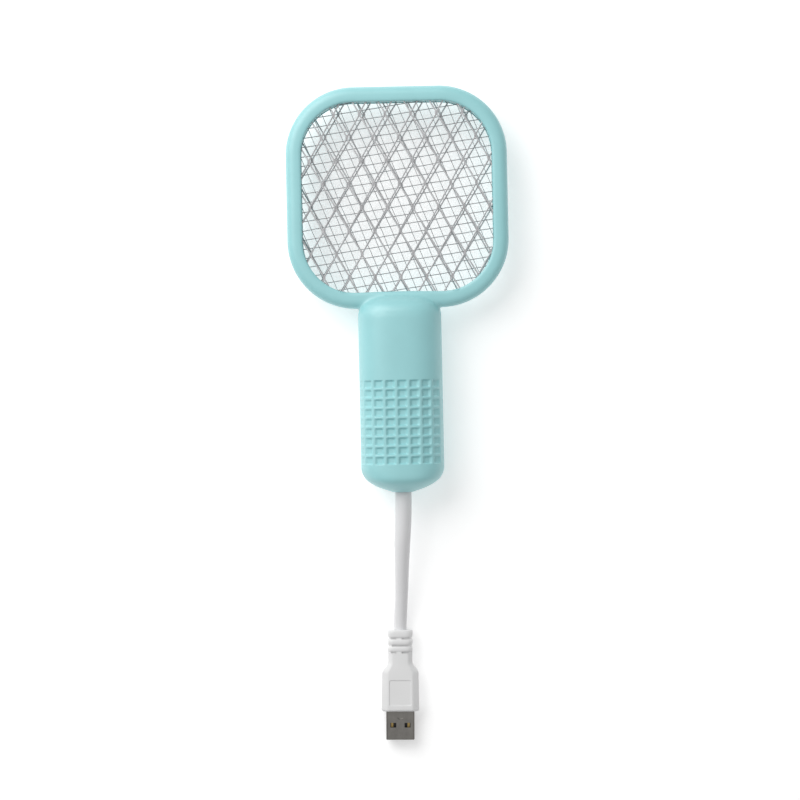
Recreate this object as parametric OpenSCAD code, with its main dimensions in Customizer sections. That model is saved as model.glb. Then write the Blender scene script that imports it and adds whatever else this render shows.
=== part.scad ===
// Mini electric fly swatter with a short USB tail.
// It lies on its back: +Y runs from the handle to the head, +Z is the front of the nets,
// and the origin is under the middle of the swatter, on the surface that it lies on.

/* [Head] */
// Outer width and height of the rounded square head
head_size = 93; // [86:1:104]
// Outer corner radius of the head
head_corner = 28.5; // [24:0.5:32]
// Width of the frame rail, seen from the front
rail_width = 6.4; // [6.2:0.1:7]
// Thickness of the head, front to back
rail_depth = 11; // [11:0.5:13]

/* [Handle] */
// Length of the whole swatter without its tail
swatter_length = 170.5; // [165:0.5:185]
// Width of the handle
handle_width = 35; // [34:1:38]
// Thickness of the handle
handle_depth = 26; // [26:1:28]
// Wall thickness of the two shells
wall = 1.8; // [1.6:0.1:2]

/* [Nets] */
// Width of one diamond of the guard nets
diamond_width = 10.8; // [9:0.2:13]
// Height of one diamond of the guard nets
diamond_height = 19.6; // [16:0.2:22]
// Distance between the wires of the centre net
mesh_pitch = 3.85; // [3.4:0.05:5]

/* [Grip] */
// Rows of pockets along the handle
pocket_rows = 9; // [5:1:9]
// Distance between rows of pockets
row_pitch = 4.0; // [3.6:0.1:4]
// Distance between columns of pockets, round the handle
column_pitch = 5.1; // [4.8:0.1:5.3]
// Depth of the pockets
pocket_depth = 0.5; // [0.3:0.1:0.7]

/* [Button] */
// Radius of the push button
button_radius = 4.6; // [4:0.1:5]

/* [Cord] */
// Diameter of the round cord
cord_diameter = 5.5; // [4.8:0.1:5.6]

/* [Hidden] */
$fn = 48;
eps = 0.01;

// Colours
mint = [0.62, 0.82, 0.82];
net_steel = [0.72, 0.73, 0.75];
cord_white = [0.88, 0.88, 0.89];
screw_steel = [0.6, 0.6, 0.62];
copper = [0.72, 0.4, 0.2];

// Places that the driving dimensions set
mid_z = handle_depth / 2;
head_y = swatter_length / 2 - head_size / 2;
handle_end_y = -swatter_length / 2;
handle_top_y = head_y - head_size / 2 + rail_width - 1.3;
straight = head_size - 2 * head_corner;

// Handle section: a superellipse, a little deeper at the back, where a flat is cut
section_power = 2.5;
section_steps = 24;
flat_cut = 0.5;

// How the handle closes at each end: [distance from the end, share of its width, share of its depth]
end_profile = [
    [0, 0.21, 0.34], [0.5, 0.33, 0.47], [1.5, 0.5, 0.63], [2.9, 0.68, 0.79], [4.1, 0.79, 0.89],
    [5.4, 0.88, 0.96], [6.9, 0.94, 0.99], [8.7, 0.985, 1], [10.6, 1, 1]
];
top_profile = [
    [0, 0.52, 0.42], [0.4, 0.61, 0.5], [1.2, 0.73, 0.62], [2.4, 0.84, 0.76], [4, 0.925, 0.88],
    [6, 0.975, 0.96], [8, 1, 0.99], [9.6, 1, 1]
];

// Rail section, from the head's outer edge inwards
rail_half = rail_depth / 2;
rail_round = 3.2;
rail_inner_round = 1.3;
rail_wall = 1.5;
lip = 1.5;
tongue = [0.45, 1.05, 0.8];
tongue_gap = 0.1;

// Net stack, outwards from the middle of the head
centre_net_thick = 0.4;
guard_net_thick = 0.55;
stack_gap = 0.05;
spacer_low = centre_net_thick / 2 + stack_gap;
spacer_high = rail_half - lip - guard_net_thick - 2 * stack_gap;
guard_net_low = spacer_high + stack_gap;
spacer_outer = rail_wall + 0.2;
spacer_inner = rail_width - 0.3;
spacer_rib = 1.2;
spacer_web = 1.2;
net_edge = [2.0, 3.2];
strand_width = 0.62;
bond_half = 0.8;
mesh_wire = 0.36;
mesh_tilt = 8;
mesh_lean = 68;
front_net_phase = [1, 5.6];
rear_net_phase = [1.7, 5.6];
rear_net_turn = -1.8;
tab_width = 4;
tab_end_y = head_y - head_size / 2 - 5;
guard_tab_x = -5;
centre_tab_x = 5;
passage_half = 8;

// Screws that hold the shells together
screw_places = [[-11.5, -14.5], [11.5, -14.5], [-10.5, -75.5], [10.5, -75.5]];
pillar_radius = 3.7;
screw_radius = 1.3;
screw_head_radius = 2.2;
screw_head_height = 2;
screw_seat_z = 9;
screw_length = 9.6;
thread_gap = 0.03;

// Button in its finger scoop
button_y = -22;
scoop_radius = 8;
scoop_length = 8;
scoop_z = 2.2;
pad_z = scoop_z + wall;
button_tip_z = 0.6;
button_gap = 0.1;
flange_radius = button_radius + 1.2;
flange_z = [pad_z + 0.05, pad_z + 1.25];
stem_radius = 2;
stem_top_z = 6.9;

// Circuit board and the switch under it
board_z = 12.4;
board_thick = 1.6;
board_top_z = board_z + board_thick;
board_half = 12;
board_y = [-64, -18.5];
board_screws_at = [[9.2, -23], [-9.2, -61]];
board_screw_radius = 1;
post_radius = 2.3;
switch_half = 3.5;
switch_z = 8.2;
plunger_radius = 1.5;
plunger_gap = 0.05;
collar_radius = 1.9;
collar_z = [8.95, 9.6];
switch_roof_z = 11.6;
spring_wire = 0.13;
led_y = -33;
led_radius = 1.5;

// Battery
battery_half = 11;
battery_y = [-70, -37];
battery_z = [4, 10];

// Tail: the cord's route runs straight out of the handle, then down to the plug
cord_radius = cord_diameter / 2;
cord_route = [
    [0, -80, 13], [0, -84, 13], [0, -88, 13], [-0.1, -92, 12.9], [-0.3, -97, 12.5], [-0.6, -102, 11.9],
    [-0.9, -107, 11], [-1.1, -112, 9.9], [-1.3, -117, 8.6], [-1.4, -122, 7.3], [-1.6, -127, 6.1],
    [-1.9, -132, 5.1], [-2.25, -137.4, 4.4], [-2.55, -142.7, 4], [-2.67, -147.8, 4]
];
cord_sides = 10;
relief_gap = 0.1;
relief_radius = 3.45;
relief_end_radius = 3.05;
relief_rings = 9;
exit_radius = 3.55;
boss_radius = 6.4;
boss_end_y = -80.6;
grommet_radius = 4.8;
grommet_y = [-83.4, -81.6];
plug_place = [-2.6, -143.9, 4];
plug_turn = -1;
plug_width = [15.6, 16];
plug_depth = 8;
plug_bore = 3.93;
plug_corner = 2;
plug_shoulder_y = -14;
plug_body_y = -18.2;
plug_face_y = -34.5;
plug_panel = [9.6, 10.8, 0.3];
plug_panel_y = -31.9;
collar_size = [10.4, 8];
collar_corner = 3.6;
collar_core = [6.6, 2.6];
collar_rings = [[0, 3.2], [3.9, 2.3], [6.9, 2.2], [9.8, 4.3]];
plug_bore_gap = 0.15;

// The plug's metal parts; the window is its width, length, distance from the middle and from the mouth
usb_length = 18.6;
usb_bare = 12;
usb_size = [12, 4.5];
usb_sheet = 0.3;
usb_gap = 0.05;
usb_window = [2.5, 2, 3, 5.2];
usb_board = [11.3, -1.9, 1.8];
usb_block_y = 12.4;
usb_block_height = 2.1;
usb_contact = [1, 0.2];
usb_contact_z = -0.08;
usb_contact_rows = [[-3.5, 1.2], [-1, 2.2], [1, 2.2], [3.5, 1.2]];

// ---------- Shapes that several parts share ----------

function power_wave(v) = sign(v) * pow(abs(v), 2 / section_power);

// One ring of the handle's surface at y; shares are of its full width and depth, from and to are angles
function handle_ring(y, shares, inset, from, to, steps) = [
    for (k = [0:steps])
        let (angle = from + (to - from) * k / steps,
            half_width = handle_width / 2 * shares[0] - inset,
            half_depth = (mid_z + (angle > 180 ? flat_cut : 0)) * shares[1] - inset)
        [half_width * power_wave(cos(angle)), y, mid_z + half_depth * power_wave(sin(angle))]
];

// Rings from the handle's end to its top
function handle_rings(inset, from, to, steps) = concat(
    [for (p = end_profile)
        handle_ring(handle_end_y + inset + p[0], [p[1], p[2]], inset, from, to, steps)],
    [for (i = [len(top_profile) - 1:-1:0]) let (p = top_profile[i])
        handle_ring(handle_top_y - inset - p[0], [p[1], p[2]], inset, from, to, steps)]
);

// A closed solid through rings of points that all have the same count
module loft(rings) {
    count = len(rings[0]);
    last = len(rings) - 1;
    polyhedron(
        points = [for (ring = rings) for (p = ring) p],
        faces = concat(
            [for (i = [0:last - 1]) for (k = [0:count - 1])
                let (next = (k + 1) % count)
                [i * count + k, i * count + next, (i + 1) * count + next]],
            [for (i = [0:last - 1]) for (k = [0:count - 1])
                let (next = (k + 1) % count)
                [i * count + k, (i + 1) * count + next, (i + 1) * count + k]],
            [[for (k = [count - 1:-1:0]) k]],
            [[for (k = [0:count - 1]) last * count + k]]
        )
    );
}

module handle_cavity() {
    loft([for (ring = handle_rings(wall, 0, 360, 2 * section_steps))
        [for (k = [0:len(ring) - 2]) ring[k]]]);
}

// Sweeps a section of [distance from the head's edge, height] points round the head
module ring_sweep(section) {
    outline = [for (p = section) [head_corner - p[0], p[1]]];
    translate([0, head_y, mid_z])
        for (quarter = [0:3])
            rotate([0, 0, 90 * quarter])
                translate([straight / 2, straight / 2, 0]) {
                    rotate_extrude(angle = 90) polygon(outline);
                    rotate([90, 0, 0]) linear_extrude(straight) polygon(outline);
                }
}

module ring_band(outer, inner, low, high) {
    ring_sweep([[outer, low], [inner, low], [inner, high], [outer, high]]);
}

function arc(centre, radius, from, to, steps) = [
    for (k = [0:steps]) let (a = from + (to - from) * k / steps)
        centre + radius * [cos(a), sin(a)]
];

// The front half of the rail, rounded more at its outer edge
function rail_section(side) = [
    for (p = concat(
        [[rail_width, 0], [0, 0]],
        arc([rail_round, rail_half - rail_round], rail_round, 180, 90, 5),
        arc([rail_width - rail_inner_round, rail_half - rail_inner_round], rail_inner_round, 90, 0, 3)))
    [p[0], side * p[1]]
];

// Outline of the head, moved inwards by inset
function head_outline(inset) =
    let (half = straight / 2, radius = head_corner - inset)
    [for (q = [0:3]) for (p = arc([half * (q == 0 || q == 3 ? 1 : -1), half * (q < 2 ? 1 : -1)], radius,
        90 * q, 90 * q + 90, 12)) p];

module head_plate(inset) {
    polygon(head_outline(inset));
}

// Length round the handle's front from its middle, against the angle of the surface
grip_steps = 60;
grip_points = handle_ring(0, [1, 1], 0, 90, 0, grip_steps);
function grip_lengths(i = 0, sum = 0) = i > grip_steps ? [] : concat(
    [[sum, 90 - 90 * i / grip_steps]],
    grip_lengths(i + 1, sum + (i < grip_steps ? norm(grip_points[i + 1] - grip_points[i]) : 0)));
grip_table = grip_lengths();
function grip_angle(length) = lookup(length, grip_table);
function grip_point(angle) = handle_ring(0, [1, 1], 0, angle, angle, 1)[0];

// Cuts for the pockets; the pattern sits a little to the right of the middle
grip_shift = 0.45;
grip_columns = [-4, 4];
grip_ribs = [1.2, 0.9];
grip_top_y = handle_end_y + 47.45;

module grip_pockets() {
    pocket = [column_pitch - grip_ribs[0], row_pitch - grip_ribs[1], 2 * pocket_depth];
    for (column = [grip_columns[0]:grip_columns[1]]) {
        place = column * column_pitch + grip_shift;
        angle = grip_angle(abs(place));
        p = grip_point(angle);
        step = grip_point(angle - 0.5) - grip_point(angle + 0.5);
        lean = atan2(step[2], step[0]);
        mirror([place < 0 ? 1 : 0, 0, 0])
            for (row = [0:pocket_rows - 1])
                translate([p[0], grip_top_y - row_pitch * (row + 0.5), p[2]])
                    rotate([0, -lean, 0])
                        cube(pocket, center = true);
    }
}

module screw(seat_z, shank_radius, head_radius, head_height, length) {
    translate([0, 0, seat_z - head_height])
        difference() {
            cylinder(r = head_radius, h = head_height);
            for (turn = [0, 90])
                rotate([0, 0, turn])
                    translate([0, 0, 0.35])
                        cube([head_radius * 1.1, 0.5, 0.8], center = true);
        }
    translate([0, 0, seat_z - eps]) cylinder(r = shank_radius, h = length - 0.8 + eps);
    translate([0, 0, seat_z + length - 0.8]) cylinder(r1 = shank_radius, r2 = 0.4, h = 0.8);
}

// ---------- Shells ----------

module shell_pillars() {
    for (p = screw_places)
        translate([p[0], p[1], mid_z - 20]) cylinder(r = pillar_radius, h = 40);
}

module net_channel() {
    half = rail_half - lip;
    ring_band(rail_wall, rail_width + 1, -half, half);
    translate([-passage_half, head_y - head_size / 2 - 1, mid_z - half])
        cube([2 * passage_half, rail_wall + 1.2, 2 * half]);
}

// A round bar or hole along Y, on the cord's axis
module exit_round(radius, low_y, high_y) {
    translate([0, low_y, mid_z]) rotate([-90, 0, 0]) cylinder(r = radius, h = high_y - low_y);
}

module exit_hole() {
    exit_round(exit_radius, handle_end_y - 1, boss_end_y + 1);
    exit_round(grommet_radius + 0.1, grommet_y[0] - 0.1, grommet_y[1] + 0.1);
}

module front_shell() {
    color(mint)
        difference() {
            union() {
                difference() {
                    loft(handle_rings(0, 0, 180, section_steps));
                    difference() {
                        handle_cavity();
                        shell_pillars();
                        exit_round(boss_radius, -100, boss_end_y);
                        for (p = board_screws_at)
                            translate([p[0], p[1], board_top_z]) cylinder(r = post_radius, h = 20);
                    }
                }
                ring_sweep(rail_section(1));
                ring_band(tongue[0], tongue[1], -tongue[2], eps);
            }
            net_channel();
            exit_hole();
            grip_pockets();
            for (p = screw_places)
                translate([p[0], p[1], mid_z - 1]) cylinder(r = screw_radius + thread_gap, h = 8.5);
            for (p = board_screws_at)
                translate([p[0], p[1], mid_z]) cylinder(r = board_screw_radius + thread_gap, h = 7);
            // The tongue stops where the handle's own wall crosses the rail
            translate([-handle_width / 2 + wall, head_y - head_size / 2 - 1, mid_z - 2])
                cube([handle_width - 2 * wall, 3, 2]);
        }
}

// The scoop is a slot with round ends, from the button towards the indicator
module scoop(radius, low, high) {
    for (y = [button_y, button_y - scoop_length])
        translate([0, y, low]) cylinder(r = radius, h = high - low);
    translate([-radius, button_y - scoop_length, low]) cube([2 * radius, scoop_length, high - low]);
}

module back_shell() {
    color(mint)
        difference() {
            union() {
                difference() {
                    loft(handle_rings(0, 180, 360, section_steps));
                    difference() {
                        handle_cavity();
                        translate([-20, -100, -10]) cube([40, 100, 10 + wall]);
                        shell_pillars();
                        exit_round(boss_radius, -100, boss_end_y);
                        scoop(scoop_radius + wall, -1, pad_z);
                    }
                }
                ring_sweep(rail_section(-1));
            }
            translate([-60, -100, -5]) cube([120, 200, 5]);
            net_channel();
            exit_hole();
            scoop(scoop_radius, -1, scoop_z);
            translate([0, button_y, -1]) cylinder(r = button_radius + button_gap, h = 8);
            translate([0, led_y, -1]) cylinder(r = led_radius + button_gap, h = 8);
            for (p = screw_places) {
                translate([p[0], p[1], -1]) cylinder(r = screw_head_radius + 0.2, h = screw_seat_z + 1);
                translate([p[0], p[1], 0]) cylinder(r = screw_radius + 0.2, h = mid_z + 1);
            }
            ring_band(tongue[0] - tongue_gap, tongue[1] + tongue_gap, -tongue[2] - tongue_gap, 1);
        }
}

module case_screws() {
    color(screw_steel)
        for (p = screw_places)
            translate([p[0], p[1], 0])
                screw(screw_seat_z, screw_radius, screw_head_radius, screw_head_height, screw_length);
}

// ---------- Nets and spacers ----------

// One zigzag strand of the expanded net, about a vertical line through the origin
module strand(start_side) {
    reach = diamond_width / 4 - strand_width / 2 + 0.02;
    half = ceil(head_size / diamond_height) + 2;
    line = [for (j = [-half:half]) for (end = [-1, 1])
        [start_side * (j % 2 == 0 ? 1 : -1) * reach, j * diamond_height / 2 + end * bond_half]];
    polygon(concat(
        [for (p = line) p - [strand_width / 2, 0]],
        [for (i = [len(line) - 1:-1:0]) line[i] + [strand_width / 2, 0]]
    ));
}

// The flat border that the frames clamp, with the tab that its lead is soldered to
module net_border(thickness, tab_x) {
    tab_low = tab_end_y - head_y;
    tab_high = net_edge[1] - head_size / 2 - 0.4;
    linear_extrude(thickness)
        difference() {
            head_plate(net_edge[0]);
            head_plate(net_edge[1]);
        }
    translate([tab_x - tab_width / 2, tab_low, 0]) cube([tab_width, tab_high - tab_low, thickness]);
}

module diamond_net(phase, turn) {
    columns = ceil(head_size / diamond_width) + 1;
    linear_extrude(guard_net_thick)
        intersection() {
            rotate(turn) translate(phase - [diamond_width / 4, 0])
                for (k = [-columns:columns])
                    translate([k * diamond_width / 2, 0]) strand(k % 2 == 0 ? 1 : -1);
            head_plate(net_edge[0] + 0.6);
        }
}

module guard_net(phase, turn) {
    color(net_steel)
        union() {
            diamond_net(phase, turn);
            net_border(guard_net_thick, guard_tab_x);
        }
}

module front_guard_net() {
    translate([0, head_y, mid_z + guard_net_low]) guard_net(front_net_phase, 0);
}

module rear_guard_net() {
    translate([0, head_y, mid_z - guard_net_low - guard_net_thick])
        guard_net(rear_net_phase, rear_net_turn);
}

module mesh_wires(angle) {
    count = ceil(head_size / 2 / mesh_pitch * 1.2);
    for (k = [-count:count])
        rotate(angle)
            translate([-head_size, k * mesh_pitch - mesh_wire / 2]) square([2 * head_size, mesh_wire]);
}

module centre_net() {
    color(net_steel)
        translate([0, head_y, mid_z - centre_net_thick / 2]) {
            linear_extrude(centre_net_thick)
                intersection() {
                    union() {
                        mesh_wires(mesh_tilt);
                        mesh_wires(180 - mesh_lean);
                    }
                    head_plate(net_edge[0] + 0.6);
                }
            net_border(centre_net_thick, centre_tab_x);
        }
}

// A channel with its open side towards the centre net
module spacer(side) {
    rib = spacer_outer + spacer_rib;
    inner_rib = spacer_inner - spacer_rib;
    web = spacer_high - spacer_web;
    color(mint)
        ring_sweep([for (p = [[spacer_outer, spacer_low], [rib, spacer_low], [rib, web], [inner_rib, web],
            [inner_rib, spacer_low], [spacer_inner, spacer_low], [spacer_inner, spacer_high],
            [spacer_outer, spacer_high]]) [p[0], side * p[1]]]);
}

module front_spacer() {
    spacer(1);
}

module rear_spacer() {
    spacer(-1);
}

// ---------- Button and switch ----------

module push_button() {
    color("white")
        translate([0, button_y, 0]) {
            difference() {
                translate([0, 0, button_tip_z])
                    cylinder(r = button_radius, h = flange_z[0] - button_tip_z + eps);
                translate([0, 0, button_tip_z - 19.6]) sphere(r = 20);
            }
            translate([0, 0, flange_z[0]]) cylinder(r = flange_radius, h = flange_z[1] - flange_z[0]);
            translate([0, 0, flange_z[1] - eps])
                cylinder(r = stem_radius, h = stem_top_z - flange_z[1] + eps);
        }
}

module switch_housing() {
    color([0.16, 0.16, 0.17])
        difference() {
            translate([-switch_half, button_y - switch_half, switch_z])
                cube([2 * switch_half, 2 * switch_half, board_z - switch_z]);
            translate([0, button_y, switch_z - 1]) cylinder(r = plunger_radius + plunger_gap, h = 3);
            translate([0, button_y, collar_z[0] - plunger_gap])
                cylinder(r = collar_radius + plunger_gap, h = switch_roof_z - collar_z[0] + plunger_gap);
        }
}

module switch_plunger() {
    color([0.85, 0.2, 0.15])
        translate([0, button_y, 0]) {
            translate([0, 0, stem_top_z + 0.02]) cylinder(r = plunger_radius, h = collar_z[0] - stem_top_z);
            translate([0, 0, collar_z[0]]) cylinder(r = collar_radius, h = collar_z[1] - collar_z[0]);
        }
}

// A coil of round wire that stands on the plunger's collar, swept as a six-sided tube
module switch_spring() {
    turns = 3.5;
    steps = 42;
    radius = 1.35;
    low = collar_z[1] + spring_wire + 0.03;
    high = switch_roof_z - spring_wire - 0.03;
    color(screw_steel)
        translate([0, button_y, 0])
            loft([for (i = [0:steps])
                let (a = 360 * turns * i / steps, z = low + (high - low) * i / steps)
                [for (k = [0:5])
                    let (r = radius + spring_wire * cos(60 * k))
                    [r * cos(a), r * sin(a), z - spring_wire * sin(60 * k)]]]);
}

// ---------- Circuit ----------

module circuit_board() {
    color([0.1, 0.35, 0.16])
        difference() {
            translate([-board_half, board_y[0], board_z])
                cube([2 * board_half, board_y[1] - board_y[0], board_thick]);
            for (p = board_screws_at)
                translate([p[0], p[1], board_z - 1])
                    cylinder(r = board_screw_radius + 0.15, h = board_thick + 2);
        }
}

module board_screws() {
    color(screw_steel)
        for (p = board_screws_at)
            translate([p[0], p[1], 0]) screw(board_z, board_screw_radius, 1.9, 1.3, 6.5);
}

module indicator_led() {
    color([0.9, 0.25, 0.2, 0.8])
        translate([0, led_y, 0]) {
            translate([0, 0, 3.6]) sphere(r = led_radius);
            translate([0, 0, 3.6]) cylinder(r = led_radius, h = 4.4);
            translate([0, 0, 7.4]) cylinder(r = led_radius + 0.4, h = 0.9);
            for (x = [-0.6, 0.6])
                translate([x - 0.2, -0.2, 8.2]) cube([0.4, 0.4, board_z - 8.2]);
        }
}

// The transformer stands on the board: an E core pair, with the winding on its middle leg
transformer_at = [-2.5, -31, board_top_z];
core_size = [12, 5, 8.2];
core_leg = 1.6;
core_middle = 2.2;
bobbin_wall = 0.4;
bobbin_foot = 0.6;

module transformer_core() {
    window = (core_size[2] - 2 * core_leg - core_middle) / 2;
    color([0.2, 0.2, 0.21])
        translate(transformer_at + [-core_size[0] / 2, -core_size[1] / 2, bobbin_foot])
            difference() {
                cube(core_size);
                for (z = [core_leg, core_leg + window + core_middle])
                    translate([2, -1, z]) cube([core_size[0] - 4, core_size[1] + 2, window]);
            }
}

module transformer_bobbin() {
    hole = [core_size[1] + 0.1, core_middle + 0.1];
    outer = [hole[0] + 2 * bobbin_wall, hole[1] + 2 * bobbin_wall];
    length = core_size[0] - 4.1;
    flange = [9.2, core_size[2] - 2 * core_leg - 0.1];
    color([0.9, 0.87, 0.75])
        translate(transformer_at + [-length / 2, 0, bobbin_foot + core_size[2] / 2]) {
            difference() {
                union() {
                    translate([0, -outer[0] / 2, -outer[1] / 2]) cube([length, outer[0], outer[1]]);
                    for (x = [0, length - 0.5])
                        translate([x, -flange[0] / 2, -flange[1] / 2]) cube([0.5, flange[0], flange[1]]);
                }
                translate([-1, -hole[0] / 2, -hole[1] / 2]) cube([length + 2, hole[0], hole[1]]);
            }
            for (x = [0, length - 0.5]) for (side = [-1, 1])
                translate([x, side * (flange[0] / 2 - 0.75) - 0.75, -bobbin_foot - core_size[2] / 2])
                    cube([0.5, 1.5, bobbin_foot + core_size[2] / 2 - flange[1] / 2 + eps]);
        }
}

module transformer_winding() {
    inner = [core_size[1] + 1, core_middle + 1];
    outer = [8.6, core_size[2] - 2 * core_leg - 0.2];
    length = core_size[0] - 5.2;
    color(copper)
        translate(transformer_at + [-length / 2, 0, bobbin_foot + core_size[2] / 2])
            difference() {
                translate([0, -outer[0] / 2, -outer[1] / 2]) cube([length, outer[0], outer[1]]);
                translate([-1, -inner[0] / 2, -inner[1] / 2]) cube([length + 2, inner[0], inner[1]]);
            }
}

module board_legs(places, height) {
    for (p = places)
        translate([p[0] - 0.3, p[1] - 0.3, board_top_z]) cube([0.6, 0.6, height]);
}

module storage_capacitor() {
    color([0.45, 0.16, 0.1]) {
        translate([4.6, -39.5, board_top_z + 0.8]) cube([5.6, 13, 6.6]);
        board_legs([[7.4, -38], [7.4, -28]], 0.9);
    }
}

module multiplier_capacitors() {
    color([0.16, 0.3, 0.65])
        for (y = [-44, -49]) {
            translate([6, y, board_top_z + 3.9]) rotate([90, 0, 0]) cylinder(r = 3, h = 2.2, center = true);
            board_legs([[4.4, y], [7.6, y]], 1.8);
        }
}

// A part with a lead out of each end, lying along X on the board
module axial_part(place, radius, length) {
    reach = length / 2 + 1.2;
    translate([place[0], place[1], board_top_z + radius + 0.2]) {
        rotate([0, 90, 0]) cylinder(r = radius, h = length, center = true);
        rotate([0, 90, 0]) cylinder(r = 0.3, h = 2 * reach, center = true);
        for (side = [-1, 1])
            translate([side * reach, 0, -radius - 0.2]) cylinder(r = 0.3, h = radius + 0.5);
    }
}

module multiplier_diodes() {
    color([0.12, 0.12, 0.13])
        for (y = [-42, -45.6, -49.2]) axial_part([-5, y], 1.3, 5);
}

module bleed_resistor() {
    color([0.8, 0.68, 0.48]) axial_part([-4.5, -53.4], 1.2, 6.2);
}

module switching_transistor() {
    color([0.12, 0.12, 0.13])
        translate([5.5, -55.5, 0]) {
            translate([0, 0, board_top_z + 1.6])
                difference() {
                    cylinder(r = 2.3, h = 4.6);
                    translate([-3, -3.6, -1]) cube([6, 2, 7]);
                }
            for (x = [-1.2, 0, 1.2])
                translate([x - 0.2, -0.2, board_top_z]) cube([0.4, 0.4, 1.7]);
        }
}

module charge_controller() {
    color([0.12, 0.12, 0.13])
        translate([-1.5, -60, board_top_z]) {
            translate([0, 0, 0.15]) cube([2.9, 1.6, 1.1]);
            for (x = [0.4, 1.25, 2.1]) for (y = [-0.5, 1.5])
                translate([x, y, 0]) cube([0.4, 0.6, 0.3]);
        }
}

module battery_cell() {
    color([0.75, 0.76, 0.78])
        translate([-battery_half, battery_y[0], battery_z[0]])
            cube([2 * battery_half, battery_y[1] - battery_y[0], battery_z[1] - battery_z[0]]);
}

module battery_pad() {
    color([0.25, 0.25, 0.27])
        translate([-9, -56, battery_z[1] + 0.02]) cube([18, 17, board_z - battery_z[1] - 0.04]);
}

// ---------- Leads, cord and plug ----------

// A round tube along points, with one radius for each point
module tube(points, radii, sides) {
    last = len(points) - 1;
    loft([for (i = [0:last])
        let (ahead = points[min(i + 1, last)] - points[max(i - 1, 0)],
            along = ahead / norm(ahead),
            side = [1, 0, 0] - along[0] * along,
            across = side / norm(side),
            up = cross(across, along))
        [for (k = [0:sides - 1])
            points[i] + radii[i] * (cos(360 * k / sides) * across + sin(360 * k / sides) * up)]]);
}

module lead(points) {
    tube(points, [for (p = points) lead_radius], 8);
}
lead_radius = 0.5;
front_tab_z = mid_z + guard_net_low + guard_net_thick + 0.02;
rear_tab_z = 2 * mid_z - front_tab_z;

module battery_leads() {
    for (side = [-1, 1])
        color(side > 0 ? "red" : [0.1, 0.1, 0.1])
            lead([for (p = [[-70.02, 7], [-71.4, 7.2], [-72.2, 8.6], [-71.6, 10.2], [-70, 11.1],
                [-66, 11.2], [-63.4, 11.2], [-62.5, 11.6], [-62.4, 12], [-62.4, 12.38]])
                [side * 3, p[0], p[1]]]);
}

module charge_leads() {
    for (side = [-1, 1])
        color(side > 0 ? "red" : [0.1, 0.1, 0.1])
            lead([for (p = [[1.2, -79.95, 13], [1.5, -76, 13.4], [2.2, -71, 14.8], [2.4, -66, 15.6],
                [2.4, -63.6, 15.5], [2.4, -62.8, 15], [2.4, -62.7, 14.5], [2.4, -62.7, 14.02]])
                [side * p[0], p[1], p[2]]]);
}

module centre_net_lead() {
    color("red")
        lead([[5, -11.6, 13.22], [5, -11.6, 13.7], [5, -12.1, 14.6], [5.2, -13.4, 15.4], [5.6, -16, 15.7],
            [5.9, -18.6, 15.5], [6, -19.6, 14.9], [6, -19.7, 14.4], [6, -19.7, 14.02]]);
}

module guard_net_leads() {
    color([0.1, 0.1, 0.1]) {
        lead([[-5, -11.6, front_tab_z], [-5, -11.6, front_tab_z + 0.5], [-5, -12.2, 18],
            [-5.2, -13.6, 18.1], [-5.6, -16, 17], [-5.9, -18.6, 15.8], [-6, -19.6, 15],
            [-6, -19.7, 14.4], [-6, -19.7, 14.02]]);
        lead([[-5, -11.6, rear_tab_z], [-5, -11.6, rear_tab_z - 0.5], [-5, -12.2, 8], [-5.2, -13.6, 8],
            [-5.6, -16, 9.2], [-5.9, -18.6, 10.6], [-6, -19.6, 11.5], [-6, -19.7, 12], [-6, -19.7, 12.38]]);
    }
}

// The grommet is clamped in the shells' end wall, and its tail tapers along the cord
module strain_relief() {
    start = [0, grommet_y[1] - 0.5, mid_z];
    points = concat([start], [for (i = [1:relief_rings + 1]) cord_route[i]]);
    last = len(points) - 1;
    color(cord_white)
        difference() {
            union() {
                tube(points, [for (i = [0:last]) relief_radius
                    + (relief_end_radius - relief_radius) * i / last], 16);
                exit_round(grommet_radius, grommet_y[0], grommet_y[1]);
            }
            tube([for (i = [0:relief_rings + 2]) cord_route[i]],
                [for (i = [0:relief_rings + 2]) cord_radius + relief_gap], cord_sides);
        }
}

module cord() {
    color(cord_white)
        tube(cord_route, [for (p = cord_route) cord_radius], cord_sides);
}

// A block with rounded upright edges, centred on X and Z, running along -Y from y
module soft_block(width, depth, y, length, corner) {
    translate([0, y, 0]) rotate([90, 0, 0]) linear_extrude(length)
        polygon([for (q = [0:3]) for (p = arc(
            [(width / 2 - corner) * (q == 0 || q == 3 ? 1 : -1), (depth / 2 - corner) * (q < 2 ? 1 : -1)],
            corner, 90 * q, 90 * q + 90, 5)) p]);
}

module plug_frame() {
    translate(plug_place) rotate([0, 0, plug_turn]) children();
}

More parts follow.
